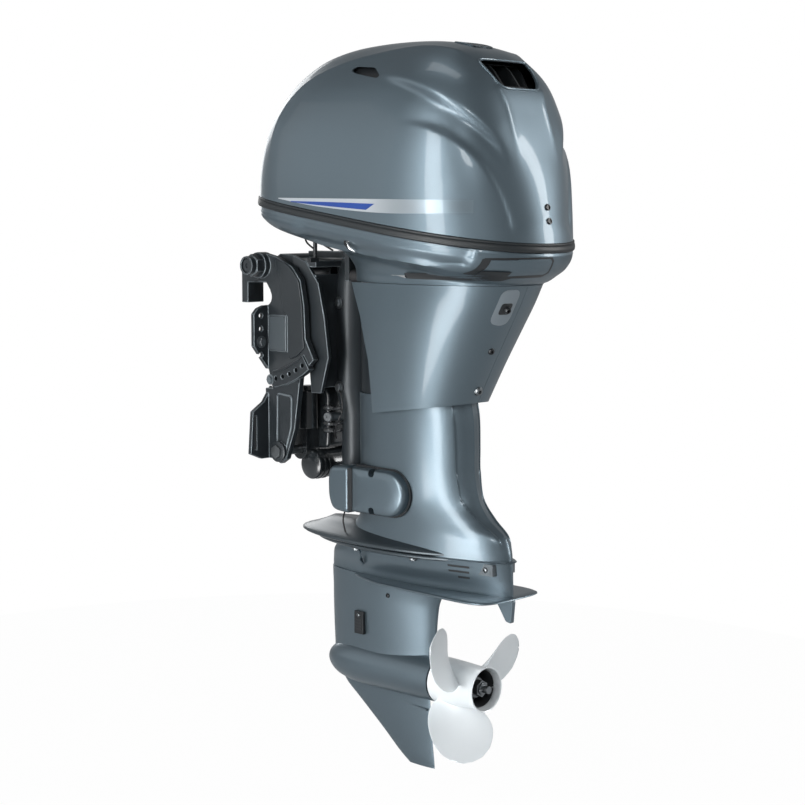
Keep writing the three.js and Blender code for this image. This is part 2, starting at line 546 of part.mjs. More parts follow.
const arcBand = () => {
  const points = [];
  for (const [r, order] of [[arcR - 16, 1], [arcR + 16, -1]]) {
    for (let i = 0; i <= 6; i += 1) {
      const t = (-81 + (26 * (order > 0 ? i : 6 - i)) / 6) * (Math.PI / 180);
      points.push([tiltX + r * Math.cos(t), tiltZ + r * Math.sin(t)]);
    }
  }
  return plate(points, 'y', -bracketOuter - 5, -bracketInner - 2);
};
const flangeThick = 9;
const upperFlange = plate([[-bracketInner - 2, -34], [-bracketOuter - flangeReach + 10, -46],
  [-bracketOuter - flangeReach, -56], [-bracketOuter - flangeReach, -118], [-bracketOuter, -163],
  [-bracketInner - 2, -163]], 'x', 0, flangeThick);
const lowerFlangeLeaf = plate([[-bracketInner - 2, -196], [-bracketOuter - 12, -226], [-bracketOuter - 40, -243],
  [-bracketOuter - 46, -325], [-bracketOuter - 18, -336], [-bracketInner - 2, -336]], 'x', 0, flangeThick);
const lowerLeafRoot = box(0, 30, -bracketOuter, -bracketInner, -336, -200);
const boltHoleY = -bracketOuter - 18;
const flangeHole = (z) => rod([-5, boltHoleY, z], [flangeThick + 5, boltHoleY, z], 5, 12);
const slotHole = box(-5, 15, -bracketOuter - 37, -bracketOuter - 31, -318, -252);
const hook = join(
  box(-transomThroat - 18, 6, -bracketInner - 2, -hookInner, 2, 34),
  box(-transomThroat - 18, -transomThroat, -bracketInner - 2, -hookInner, -38, 4),
);
const tiltBoss = rod([tiltX, -bracketOuter - 12, tiltZ], [tiltX, -bracketInner, tiltZ], 25, 18);
const pivotBoss = rod([lowerPivot[0], -bracketOuter - 6, lowerPivot[1]], [lowerPivot[0], -bracketInner,
  lowerPivot[1]], 18, 20);
const platePad = box(15, 63, -bracketOuter - 4, -bracketOuter + 2, -127, -59);
const bracket = cut(
  join(plate(plateOutline, 'y', -bracketOuter, -bracketInner), upperFlange, lowerFlangeLeaf, lowerLeafRoot,
    hook, tiltBoss, pivotBoss, platePad, arcBand()),
  tubeHole(-200, -40), crossShaftHole(-200, -40), slotHole,
  ...[0, 1, 2, 3].map((k) => flangeHole(-60 - 25 * k)), ...[0, 1, 2, 3, 4].map(arcHole),
);
for (const [side, sign] of sides) node(`clamp_bracket_${side}`, mirrorY(bracket, sign), black);

const tubeHalf = bracketOuter + 36;
node('tilt_tube', ring([tiltX, -tubeHalf, tiltZ], [tiltX, tubeHalf, tiltZ], tiltTubeR, 8, 18), steel);
for (const [side, sign] of sides) {
  const from = sign * (bracketOuter + 12 + gap);
  node(`tilt_tube_nut_${side}`, join(
    ring([tiltX, from, tiltZ], [tiltX, from + sign * 16, tiltZ], 22, tiltTubeR + gap, 6),
    ring([tiltX, from + sign * 15, tiltZ], [tiltX, from + sign * 28, tiltZ], 18, tiltTubeR + gap, 18),
  ), black);
}
node('lower_cross_shaft', join(
  rod([lowerPivot[0], -bracketOuter - 8, lowerPivot[1]], [lowerPivot[0], bracketOuter + 8, lowerPivot[1]],
    crossShaftR, 20),
  ...sides.map(([, s]) => rod([lowerPivot[0], s * (bracketOuter + 6 + gap), lowerPivot[1]],
    [lowerPivot[0], s * (bracketOuter + 14), lowerPivot[1]], 13, 6)),
), steel);

// ---------------------------------------------------------------- swivel and steering
const swivelPlate = 8;
const swivelOutline = [[16, -6], [16, 50], [24, 58], [60, 56], [96, 44], [130, 4], [146, -60], [157, -134],
  [136, -203], [110, -204], [104, -150], [98, -60], [70, -20]];
const swivelTop = 50;
const swivelFoot = casingJoint + 100;
const tubeBore = rod([steerX, 0, swivelFoot - 9], [steerX, 0, swivelTop + 9], pivotR + gap, 18);
const cheek = (y0, y1) => plate(swivelOutline, 'y', y0, y1);
const ramLug = (y0) => plate([[112, -30], [112, -84], [80, -76], [62, -66], [62, -52], [76, -44]], 'y', y0, y0 + 8);
const swivelSkin = join(
  rod([steerX, 0, swivelFoot], [steerX, 0, swivelTop], swivelR, 20),
  cheek(-swivelHalf, -swivelHalf + swivelPlate), cheek(swivelHalf - swivelPlate, swivelHalf),
  rod([tiltX, -hookInner + 1, tiltZ], [tiltX, hookInner - 1, tiltZ], 21, 18),
  box(108, 122, -swivelHalf + 2, swivelHalf - 2, -195, 20),
  plate([[4, 37], [122, 34], [122, 46], [4, 48]], 'y', -swivelHalf + 2, swivelHalf - 2),
  box(110, steerX, -22, 22, -190, 46),
  ramLug(-24), ramLug(16),
);
node('swivel_bracket', cut(swivelSkin, tubeHole(-200, 200), tubeBore), black);

// Steering bracket: pivot shaft, upper yoke reaching the upper mounts, and the steering arm.
const yokeZ = swivelTop + gap;
const armHole = rod([28, 0, 40], [28, 0, 90], 5, 12);
node('steering_bracket', cut(join(
  rod([steerX, 0, casingJoint + 55], [steerX, 0, yokeZ + 2], pivotR, 18),
  rod([steerX, 0, yokeZ], [steerX, 0, yokeZ + 14], 30, 18),
  plate([[18, -12], [60, -16], [steerX, -26], [steerX, 26], [60, 16], [18, 12]], 'z', yokeZ, yokeZ + 12),
  plate([[steerX, -26], [172, -62], [182, -62], [182, 62], [172, 62], [steerX, 26]], 'z', yokeZ, yokeZ + 12),
  ...[-1, 1].map((s) => box(171, 182, s * mountY - 10, s * mountY + 10, mountZ - 10, yokeZ + 2)),
  ...[-1, 1].map((s) => rod([176, s * mountY, mountZ], [248, s * mountY, mountZ], 6, 16)),
), armHole), black);
const yokeLow = casingJoint + 66;
const yokeHigh = swivelFoot - gap;
node('lower_yoke', cut(join(
  rod([steerX, 0, yokeLow], [steerX, 0, yokeHigh], 30, 18),
  ...[-1, 1].map((s) => plate([[steerX - 14, s * 20], [steerX + 10, s * 78], [204, s * 80], [208, s * 69],
    [170, s * 66], [steerX + 24, s * 20]], 'z', lowerMountZ - 14, yokeHigh)),
), rod([steerX, 0, yokeLow - 9], [steerX, 0, yokeHigh + 9], pivotR + gap, 18)), black);

// Tilt support lever, folded along the port cheek of the swivel bracket.
const leverX = 60;
const leverZ = 20;
node('tilt_support_lever', join(
  rod([leverX, -swivelHalf + swivelPlate + gap, leverZ], [leverX, -swivelHalf + 26, leverZ], 7, 16),
  plate([[leverX - 7, leverZ], [leverX + 7, leverZ], [leverX + 6, leverZ - 62], [leverX - 6, leverZ - 62]], 'y',
    -swivelHalf + 16, -swivelHalf + 24),
), steel);

// ---------------------------------------------------------------- power trim and tilt
const ramDir = new THREE.Vector2(ramPin[0] - lowerPivot[0], ramPin[1] - lowerPivot[1]).normalize();
const ramLength = Math.hypot(ramPin[0] - lowerPivot[0], ramPin[1] - lowerPivot[1]);
const onRam = (d, y = 0) => [lowerPivot[0] + d * ramDir.x, y, lowerPivot[1] + d * ramDir.y];
const cylinderTop = 176;
node('tilt_cylinder', cut(join(
  rod(onRam(14), onRam(cylinderTop), cylinderR, 18),
  rod([lowerPivot[0], -60, lowerPivot[1]], [lowerPivot[0], 60, lowerPivot[1]], 20, 20),
  box(24, 62, -60, 60, lowerPivot[1] + 6, lowerPivot[1] + 40),
  rod([62, -46, lowerPivot[1] - 30], [62, 46, lowerPivot[1] - 30], 28, 20),
), crossShaftHole(-70, 70), rod(onRam(24), onRam(cylinderTop + 9), ramR + gap, 20)), black);
node('tilt_ram', join(
  rod(onRam(30), onRam(ramLength - 8), ramR, 20),
  rod([ramPin[0], -13, ramPin[1]], [ramPin[0], 13, ramPin[1]], 13, 20),
), steel);
const pumpTop = -206;
const motorY = -46;
node('tilt_motor', join(
  rod([52, motorY, lowerPivot[1] + 40 + gap], [52, motorY, pumpTop], 20, 20),
  rod([52, motorY, pumpTop - 1], [52, motorY, pumpTop + 10], 12, 16),
), black);
node('fluid_reservoir', join(
  box(34, 72, 28, 58, lowerPivot[1] + 40 + gap, pumpTop - 14),
  rod([54, 43, pumpTop - 15], [54, 43, pumpTop - 4], 9, 12),
), black);

// ---------------------------------------------------------------- powerhead
const powerZ = guideTop + gap;
const blockTop = 300;
node('cylinder_block', cut(join(
  box(206, 290, -52, 52, powerZ, blockTop),
  box(280, 410, -62, 62, powerZ, blockTop - 6),
), rod([crankX, 0, powerZ - 5], [crankX, 0, blockTop + 9], 30, 18)), alloy);
node('crankshaft', cut(join(
  rod([crankX, 0, powerZ + 8], [crankX, 0, blockTop + 40], 17, 20),
  ...[60, 140, 220].map((z) => rod([crankX, 0, z], [crankX, 0, z + 26], 29.3, 18)),
), rod([crankX, 0, powerZ], [crankX, 0, guideTop + 12], driveShaftR + gap, 20)), steel);
node('cylinder_head', box(410 + gap, 448, -64, 64, powerZ + 4, blockTop - 10), alloy);
node('head_cover', box(448 + gap, 500, -52, 52, powerZ + 12, blockTop - 16), paint);
node('flywheel', cut(turned([[0, 0], [flywheelR, 0], [flywheelR, 34], [flywheelR - 12, 38], [40, 44], [0, 44]], 'z',
  [crankX, 0, blockTop + 12], 36), rod([crankX, 0, blockTop], [crankX, 0, blockTop + 90], 17 + gap, 20)), steel);
node('intake_manifold', join(
  box(290, 440, 76, 118, 96, 250),
  ...[120, 170, 220].map((z) => rod([410, 66, z], [410, 80, z], 14, 14)),
  box(392, 428, 64 + gap, 78, 104, 236),
), black);
node('starter_motor', join(
  rod([164, -62, 120], [164, -62, 250], 27, 20),
  rod([164, -62, 249], [164, -62, 276], 12, 16),
  box(180, 206 - gap, -60, -36, 150, 230),
), black);
node('oil_filter', join(
  rod([340, -62 - gap, 110], [340, -70, 110], 18, 20),
  rod([340, -69, 110], [340, -132, 110], 29, 18),
), black);

export default group;
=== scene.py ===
"""The looks of an outboard motor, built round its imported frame.

Metres, +X aft, +Y starboard, +Z up; the origin is the middle of the transom's top edge.
Sizes are written in millimetres and turned into metres by MM.
"""
import json
import math

import bmesh
import bpy
import numpy as np
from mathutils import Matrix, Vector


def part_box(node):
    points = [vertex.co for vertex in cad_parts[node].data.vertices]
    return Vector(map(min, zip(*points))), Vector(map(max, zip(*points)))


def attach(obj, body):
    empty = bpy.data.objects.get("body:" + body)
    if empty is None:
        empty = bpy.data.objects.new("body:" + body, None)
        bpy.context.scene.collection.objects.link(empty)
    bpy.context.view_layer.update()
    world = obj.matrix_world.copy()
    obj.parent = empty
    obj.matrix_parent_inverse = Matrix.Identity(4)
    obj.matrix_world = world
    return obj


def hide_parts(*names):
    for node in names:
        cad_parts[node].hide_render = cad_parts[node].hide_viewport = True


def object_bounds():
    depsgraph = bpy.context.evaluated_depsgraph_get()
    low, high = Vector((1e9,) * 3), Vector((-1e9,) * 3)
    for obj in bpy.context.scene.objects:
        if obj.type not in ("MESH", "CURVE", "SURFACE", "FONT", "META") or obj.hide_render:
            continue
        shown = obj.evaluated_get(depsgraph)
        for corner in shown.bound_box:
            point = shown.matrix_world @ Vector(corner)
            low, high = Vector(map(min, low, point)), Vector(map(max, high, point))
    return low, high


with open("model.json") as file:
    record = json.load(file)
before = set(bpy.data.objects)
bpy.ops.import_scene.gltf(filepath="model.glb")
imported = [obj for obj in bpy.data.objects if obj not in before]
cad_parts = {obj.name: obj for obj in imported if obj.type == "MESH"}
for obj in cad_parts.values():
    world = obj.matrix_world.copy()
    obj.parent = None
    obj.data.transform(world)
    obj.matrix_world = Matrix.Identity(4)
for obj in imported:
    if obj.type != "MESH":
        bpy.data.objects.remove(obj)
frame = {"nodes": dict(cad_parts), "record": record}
cad_box = [list(corner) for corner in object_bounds()]
scene = bpy.context.scene
MM = 0.001

# ---- Studio -------------------------------------------------------------------------------
# The motor hangs as on a transom, over a pale paper floor, in front of nothing but light.
camera = bpy.data.objects.new("camera", bpy.data.cameras.new("camera"))
scene.collection.objects.link(camera)
camera.location = (2.620, -2.451, 0.143)
camera.rotation_euler = (math.radians(90 - 6.06), 0, math.radians(43.9))
camera.data.lens = 81.5
camera.data.sensor_width = 36
scene.camera = camera
scene.view_settings.view_transform = "Standard"


def new_object(name, points, faces):
    """A mesh object from an array of points and a list or array of faces."""
    mesh = bpy.data.meshes.new(name)
    mesh.from_pydata(np.asarray(points, float).tolist(), [], np.asarray(faces, dtype=object).tolist())
    mesh.update()
    made = bpy.data.objects.new(name, mesh)
    scene.collection.objects.link(made)
    return made


floor_drop = 0.06
floor_reach = 40
floor_z = cad_box[0][2] - floor_drop
floor = new_object(
    "paper_floor",
    [(x * floor_reach, y * floor_reach, floor_z) for x, y in ((-1, -1), (1, -1), (1, 1), (-1, 1))],
    [(0, 1, 2, 3)],
)
paper = bpy.data.materials.new("white_paper")
paper.use_nodes = True
nodes, links = paper.node_tree.nodes, paper.node_tree.links
nodes.clear()
matte = nodes.new("ShaderNodeBsdfDiffuse")
matte.inputs["Color"].default_value = (0.62, 0.63, 0.64, 1)
glow = nodes.new("ShaderNodeEmission")
blend = nodes.new("ShaderNodeMixShader")
paper_out = nodes.new("ShaderNodeOutputMaterial")


def background_share(tree, whole, part):
    """How much of the white background a ray is shown: whole for the camera and through clear
    things, part in reflections, none for light that falls on the motor."""
    ray = tree.nodes.new("ShaderNodeLightPath")
    seen = tree.nodes.new("ShaderNodeMath")
    seen.operation = "MAXIMUM"
    tree.links.new(ray.outputs["Is Camera Ray"], seen.inputs[0])
    tree.links.new(ray.outputs["Is Transmission Ray"], seen.inputs[1])
    shared = tree.nodes.new("ShaderNodeMath")
    shared.operation = "MULTIPLY"
    shared.inputs[1].default_value = whole
    glossy = tree.nodes.new("ShaderNodeMath")
    glossy.operation = "MULTIPLY_ADD"
    glossy.inputs[1].default_value = part
    tree.links.new(seen.outputs[0], shared.inputs[0])
    tree.links.new(ray.outputs["Is Glossy Ray"], glossy.inputs[0])
    tree.links.new(shared.outputs[0], glossy.inputs[2])
    return glossy.outputs[0]


near = nodes.new("ShaderNodeTexCoord")
reach = nodes.new("ShaderNodeVectorMath")
reach.operation = "LENGTH"
clear = nodes.new("ShaderNodeMapRange")
clear.inputs["From Min"].default_value = 0.9
clear.inputs["From Max"].default_value = 1.9
whiter = nodes.new("ShaderNodeMath")
whiter.operation = "MAXIMUM"
links.new(near.outputs["Object"], reach.inputs[0])
links.new(reach.outputs["Value"], clear.inputs["Value"])
links.new(background_share(paper.node_tree, 0.98, 0.12), whiter.inputs[0])
either = nodes.new("ShaderNodeMath")
either.operation = "MULTIPLY"
eye = nodes.new("ShaderNodeLightPath")
links.new(clear.outputs["Result"], either.inputs[0])
links.new(eye.outputs["Is Camera Ray"], either.inputs[1])
links.new(either.outputs[0], whiter.inputs[1])
links.new(whiter.outputs[0], blend.inputs["Fac"])
links.new(matte.outputs[0], blend.inputs[1])
links.new(glow.outputs[0], blend.inputs[2])
links.new(blend.outputs[0], paper_out.inputs["Surface"])
floor.data.materials.append(paper)

# The room: white behind the motor, a middling grey for the light that it gives.
world = bpy.data.worlds.new("studio")
scene.world = world
world.use_nodes = True
nodes, links = world.node_tree.nodes, world.node_tree.links
nodes.clear()
room = nodes.new("ShaderNodeMix")
room.data_type = "RGBA"
way = nodes.new("ShaderNodeTexCoord")
split = nodes.new("ShaderNodeSeparateXYZ")
ceiling = nodes.new("ShaderNodeValToRGB")
ceiling.color_ramp.elements[0].position = 0.12
ceiling.color_ramp.elements[0].color = (0.34, 0.35, 0.36, 1)
ceiling.color_ramp.elements[1].position = 0.75
ceiling.color_ramp.elements[1].color = (0.10, 0.105, 0.11, 1)
links.new(way.outputs["Generated"], split.inputs[0])
links.new(split.outputs["Z"], ceiling.inputs["Fac"])
links.new(ceiling.outputs["Color"], room.inputs["A"])
room.inputs["B"].default_value = (1, 1, 1, 1)
sky = nodes.new("ShaderNodeBackground")
world_out = nodes.new("ShaderNodeOutputWorld")
links.new(background_share(world.node_tree, 1.0, 0.12), room.inputs["Factor"])
links.new(room.outputs["Result"], sky.inputs["Color"])
links.new(sky.outputs[0], world_out.inputs["Surface"])

# Soft boxes: name, place, what it faces, width, height, watts.
soft_boxes = [
    ("port_strip", (0.50, -3.2, 0.5), (0.3, 0, -0.2), 0.8, 2.8, 80),
    ("port_bow_fill", (-2.6, -2.6, 0.9), (0.3, 0, -0.1), 2.6, 2.6, 12),
    ("low_port", (0.20, -1.5, -0.80), (0.40, -0.1, 0.05), 0.8, 0.5, 12),
    ("aft_strip", (2.7, 2.4, 0.9), (0.35, 0, -0.1), 0.6, 2.4, 60),
    ("front_fill", (3.0, -3.2, 1.6), (0.3, 0, -0.3), 0.7, 0.9, 30),
    ("top", (0.3, -0.6, 2.8), (0.3, 0, 0.3), 1.6, 0.5, 8),
    ("bow", (-2.8, 1.2, 0.8), (0.2, 0, 0.0), 1.2, 1.6, 16),
]
for name, place, target, width, tall, watts in soft_boxes:
    lamp = bpy.data.lights.new(name, "AREA")
    lamp.shape = "RECTANGLE"
    lamp.size, lamp.size_y, lamp.energy = width, tall, watts
    holder = bpy.data.objects.new(name, lamp)
    scene.collection.objects.link(holder)
    holder.location = place
    holder.visible_camera = False
    aim = np.array(target, float) - np.array(place, float)
    pan = math.atan2(aim[1], aim[0]) - math.pi / 2
    holder.rotation_euler = (math.acos(-aim[2] / np.linalg.norm(aim)), 0, pan)

# ---- Top cowl -----------------------------------------------------------------------------
# The lift-off engine cover: one moulding of glass-filled plastic, in metallic paint under
# clear lacquer. Each level is a superellipse, blunt ahead and finer aft, so the sides run
# almost flat; creases lead from the side slots and the vent down to the aft corners.
BLUNT_SHARE = 0.52


def follow(table, at):
    """Rows of a table joined by a smooth cubic: at 0 gives the first row and 1 the last, and
    the slope at each row is half the step between its two neighbours."""
    table = np.asarray(table, float)
    place = np.asarray(at, float) * (len(table) - 1)
    i = np.clip(np.floor(place).astype(int), 0, len(table) - 2)
    f = (place - i)[..., None]
    wide = np.vstack([2 * table[0] - table[1], table, 2 * table[-1] - table[-2]])
    before, a, b, after = wide[i], wide[i + 1], wide[i + 2], wide[i + 3]
    return 0.5 * (2 * a + (b - before) * f + (2 * before - 5 * a + 4 * b - after) * f**2
                  + (3 * (a - b) + after - before) * f**3)


def even_angles(count, blunt=3.6, fine=2.6, start=0.0, end=2 * math.pi):
    """Angles that step a typical level evenly along its length."""
    dense = np.linspace(start, end, 4001)
    c, s = np.cos(dense), np.sin(dense)
    power = 2 / np.where(c < 0, blunt, fine)
    x, y = 1.6 * np.sign(c) * np.abs(c)**power, np.sign(s) * np.abs(s)**power
    run = np.concatenate([[0], np.cumsum(np.hypot(np.diff(x), np.diff(y)))])
    return np.interp(np.linspace(0, run[-1], count), run, dense)


def level_points(levels, angles):
    """Points of sloping superellipse levels. A level is front, aft, half width, height at the
    front, height aft, bluntness ahead and aft: x = middle + reach |cos|^(2/n),
    y = half |sin|^(2/n), each with the sign of its cosine or sine."""
    front, aft, half, z_front, z_aft, blunt, fine = (column[:, None] for column in levels.T)
    c, s = np.cos(angles), np.sin(angles)
    power = 2 / np.where(c < 0, blunt, fine)
    middle = front + BLUNT_SHARE * (aft - front)
    reach = np.where(c < 0, middle - front, aft - middle)
    x = middle + reach * np.sign(c) * np.abs(c)**power
    y = half * np.sign(s) * np.abs(s)**power
    z = z_front + (z_aft - z_front) * (x - front) / (aft - front)
    return np.stack([x, y, z], -1)


def grid_faces(rows, columns, wrap=True, offset=0):
    """Quads of a grid of points, row by row; wrap joins the last column to the first."""
    last = columns if wrap else columns - 1
    r, c = np.meshgrid(np.arange(rows - 1), np.arange(last), indexing="ij")
    n = (c + 1) % columns
    quads = np.stack([r * columns + c, r * columns + n, (r + 1) * columns + n, (r + 1) * columns + c], -1)
    return quads.reshape(-1, 4) + offset


def grid_normals(points, wrap=True):
    """Unit normals of a grid of points: along the ring crossed with up the rows."""
    if wrap:
        along = np.roll(points, -1, 1) - np.roll(points, 1, 1)
    else:
        along = np.gradient(points, axis=1)
    normal = np.cross(along, np.gradient(points, axis=0))
    return normal / (np.linalg.norm(normal, axis=-1, keepdims=True) + 1e-12)


def crease_offsets(points, normals, line, samples=240):
    """Signed distance of each point from a line on the port side, mirrored to starboard, along
    the surface, plain distance, and the share of the way along. Positive is left of the run."""
    flip = np.where(points[..., 1:2] > 0, -1.0, 1.0) * np.array([0, 1, 0]) + np.array([1, 0, 1])
    port, outward = points * flip, normals * flip
    curve = follow(line, np.linspace(0, 1, samples))
    ahead = np.gradient(curve, axis=0)
    ahead /= np.linalg.norm(ahead, axis=1, keepdims=True)
    apart = np.stack([np.linalg.norm(port - q, axis=-1) for q in curve], -1)
    nearest = apart.argmin(-1)
    away = port - curve[nearest]
    left = np.cross(outward, ahead[nearest])
    left /= np.linalg.norm(left, axis=-1, keepdims=True) + 1e-9
    run = (away * ahead[nearest]).sum(-1)
    beyond = np.where((nearest == 0) | (nearest == samples - 1), np.abs(run), 0)
    return (away * left).sum(-1), np.hypot((away * left).sum(-1), beyond), nearest / (samples - 1)


def shown(piece, body, look, replaces=(), sharp=32):
    """Gives a piece its material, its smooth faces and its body."""
    looks = look if isinstance(look, (list, tuple)) else [look]
    piece.data.materials.clear()
    for each in looks:
        piece.data.materials.append(each)
    piece.data.shade_smooth()
    piece.data.set_sharp_from_angle(angle=math.radians(sharp))
    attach(piece, body)
    if replaces:
        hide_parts(*replaces)
    return piece


def applied(piece):
    """The piece with its modifiers made part of its mesh."""
    graph = bpy.context.evaluated_depsgraph_get()
    baked = bpy.data.meshes.new_from_object(piece.evaluated_get(graph))
    piece.modifiers.clear()
    piece.data = baked
    return piece


def carve(piece, *tools):
    """Cuts closed tool meshes out of a closed piece, and removes the tools."""
    for tool in tools:
        cut = piece.modifiers.new("cut", "BOOLEAN")
        cut.operation, cut.solver, cut.object = "DIFFERENCE", "EXACT", tool
    applied(piece)
    for tool in tools:
        bpy.data.objects.remove(tool)
    return piece


def prism(name, outline, axis, low, high):
    """A closed bar: an outline of points in the other two axes, carried along one axis."""
    outline = np.asarray(outline, float)
    count = len(outline)
    others = [i for i in range(3) if i != axis]
    points = np.zeros((2 * count, 3))
    for ends, place in ((slice(0, count), low), (slice(count, None), high)):
        points[ends, others[0]], points[ends, others[1]], points[ends, axis] = outline[:, 0], outline[:,
            1], place
    faces = [list(range(count))[::-1], list(range(count, 2 * count))]
    faces += [[i, (i + 1) % count, (i + 1) % count + count, i + count] for i in range(count)]
    made = new_object(name, points, [])
    made.data.clear_geometry()
    made.data.from_pydata(points.tolist(), [], faces)
    tidy_normals(made)
    return made


def tidy_normals(piece, merge=1e-6):
    """Merges doubles and turns every face outwards."""
    work = bmesh.new()
    work.from_mesh(piece.data)
    bmesh.ops.remove_doubles(work, verts=work.verts, dist=merge)
    bmesh.ops.recalc_face_normals(work, faces=work.faces)
    work.to_mesh(piece.data)
    work.free()
    return piece


def rounded(corners, radius, steps=5):
    """An outline with each corner turned into an arc, by a quadratic curve between two points
    set back from the corner."""
    corners = np.asarray(corners, float)
    before = np.roll(corners, 1, 0) - corners
    after = np.roll(corners, -1, 0) - corners
    back = np.minimum(radius, 0.45 * np.linalg.norm(before, axis=1))[:, None]
    on = np.minimum(radius, 0.45 * np.linalg.norm(after, axis=1))[:, None]
    start = corners + before / np.linalg.norm(before, axis=1, keepdims=True) * back
    end = corners + after / np.linalg.norm(after, axis=1, keepdims=True) * on
    t = np.linspace(0, 1, steps)[None, :, None]
    arc = (1 - t)**2 * start[:, None] + 2 * t * (1 - t) * corners[:, None] + t**2 * end[:, None]
    return arc.reshape(-1, 2)


def surface_group():
    """Shared surface tone: a slow cloud moves the colour towards a second one, a fine grain adds
    sparkle, and both set the roughness and a small relief. All of it on Object coordinates."""
    group = bpy.data.node_groups.new("surface_tone", "ShaderNodeTree")
    inputs = [("Color", "NodeSocketColor"), ("Second", "NodeSocketColor"), ("Cloud Scale", "NodeSocketFloat"),
              ("Cloud", "NodeSocketFloat"), ("Grain Scale", "NodeSocketFloat"), ("Grain", "NodeSocketFloat"),
              ("Roughness", "NodeSocketFloat"), ("Spread", "NodeSocketFloat")]
    for name, kind in inputs:
        group.interface.new_socket(name, in_out="INPUT", socket_type=kind)
    for name, kind in (("Color", "NodeSocketColor"), ("Roughness", "NodeSocketFloat"),
                       ("Relief", "NodeSocketFloat")):
        group.interface.new_socket(name, in_out="OUTPUT", socket_type=kind)
    make, join = group.nodes.new, group.links.new
    given, result = make("NodeGroupInput"), make("NodeGroupOutput")
    place = make("ShaderNodeTexCoord")
    cloud, grain = make("ShaderNodeTexNoise"), make("ShaderNodeTexNoise")
    cloud.inputs["Detail"].default_value = 5
    grain.inputs["Detail"].default_value = 2
    for noise, scale in ((cloud, "Cloud Scale"), (grain, "Grain Scale")):
        join(place.outputs["Object"], noise.inputs["Vector"])
        join(given.outputs[scale], noise.inputs["Scale"])

    def scaled(value, amount, low=-0.5):
        """(value + low) * amount, as two nodes."""
        shift, size = make("ShaderNodeMath"), make("ShaderNodeMath")
        shift.operation, size.operation = "ADD", "MULTIPLY"
        shift.inputs[1].default_value = low
        join(value, shift.inputs[0])
        join(shift.outputs[0], size.inputs[0])
        join(amount, size.inputs[1])
        return size.outputs[0]

    tone = make("ShaderNodeMix")
    tone.data_type = "RGBA"
    join(scaled(cloud.outputs["Fac"], given.outputs["Cloud"], -0.35), tone.inputs["Factor"])
    join(given.outputs["Color"], tone.inputs["A"])
    join(given.outputs["Second"], tone.inputs["B"])
    sparkle = make("ShaderNodeHueSaturation")
    bright = make("ShaderNodeMath")
    bright.operation = "ADD"
    bright.inputs[1].default_value = 1
    join(scaled(grain.outputs["Fac"], given.outputs["Grain"]), bright.inputs[0])
    join(bright.outputs[0], sparkle.inputs["Value"])
    join(tone.outputs["Result"], sparkle.inputs["Color"])
    rough = make("ShaderNodeMath")
    rough.operation = "ADD"
    join(scaled(cloud.outputs["Fac"], given.outputs["Spread"]), rough.inputs[0])
    join(given.outputs["Roughness"], rough.inputs[1])
    join(sparkle.outputs["Color"], result.inputs["Color"])
    join(rough.outputs[0], result.inputs["Roughness"])
    join(grain.outputs["Fac"], result.inputs["Relief"])
    return group


SURFACE_TONE = surface_group()


def finish(name, color, second=None, cloud=(6, 0.3), grain=(900, 0.1), rough=(0.4, 0.1), relief=0.0,
           **sockets):
    """A Principled material fed by the shared surface tone. Numbers that are the same all over
    are set on the shader's own sockets."""
    material = bpy.data.materials.new(name)
    material.use_nodes = True
    tree = material.node_tree
    shader = tree.nodes["Principled BSDF"]
    tone = tree.nodes.new("ShaderNodeGroup")
    tone.node_tree = SURFACE_TONE
    tone.inputs["Color"].default_value = (*color, 1)
    tone.inputs["Second"].default_value = (*(second or [0.75 * c for c in color]), 1)
    tone.inputs["Cloud Scale"].default_value, tone.inputs["Cloud"].default_value = cloud
    tone.inputs["Grain Scale"].default_value, tone.inputs["Grain"].default_value = grain
    tone.inputs["Roughness"].default_value, tone.inputs["Spread"].default_value = rough
    tree.links.new(tone.outputs["Color"], shader.inputs["Base Color"])
    tree.links.new(tone.outputs["Roughness"], shader.inputs["Roughness"])
    if relief:
        bump = tree.nodes.new("ShaderNodeBump")
        bump.inputs["Strength"].default_value = relief
        bump.inputs["Distance"].default_value = 0.0004
        tree.links.new(tone.outputs["Relief"], bump.inputs["Height"])
        tree.links.new(bump.outputs["Normal"], shader.inputs["Normal"])
    for socket, value in sockets.items():
        shader.inputs[socket.replace("_", " ")].default_value = value
    return material


cowl_paint = finish(
    "cowl_metallic_paint", (0.112, 0.150, 0.176), (0.096, 0.130, 0.154), cloud=(2.5, 0.5), grain=(1800, 0.35),
    rough=(0.40, 0.05), Metallic=0.78, Coat_Weight=0.35, Coat_Roughness=0.06,
)

# front, aft, half width, height at the front, height aft, bluntness ahead, bluntness aft
cowl_table = np.array([
    (-5, 618, 190, 173, 84, 4.0, 2.3),
    (0, 611, 191, 215, 135, 4.0, 2.4),
    (11, 600, 189, 258, 195, 4.0, 2.6),
    (27, 585, 183, 297, 247, 4.0, 2.9),
    (46, 566, 172, 333, 302, 3.8, 3.1),
    (68, 546, 157, 365, 353, 3.6, 3.2),
    (95, 520, 138, 392, 388, 3.4, 3.2),
    (130, 486, 114, 415, 415, 3.2, 3.0),
    (175, 440, 82, 432, 432, 2.8, 2.8),
    (232, 385, 47, 441, 441, 2.4, 2.4),
    (275, 340, 20, 443, 443, 2.0, 2.0),
    (306, 308, 1, 443.3, 443.3, 2.0, 2.0),
])
cowl_columns = 300
cowl_rows = 118
cowl_wall = 3.5
cowl_grid = level_points(follow(cowl_table, np.linspace(0, 1, cowl_rows)), even_angles(cowl_columns + 1)[:-1])
cowl_normal = grid_normals(cowl_grid)

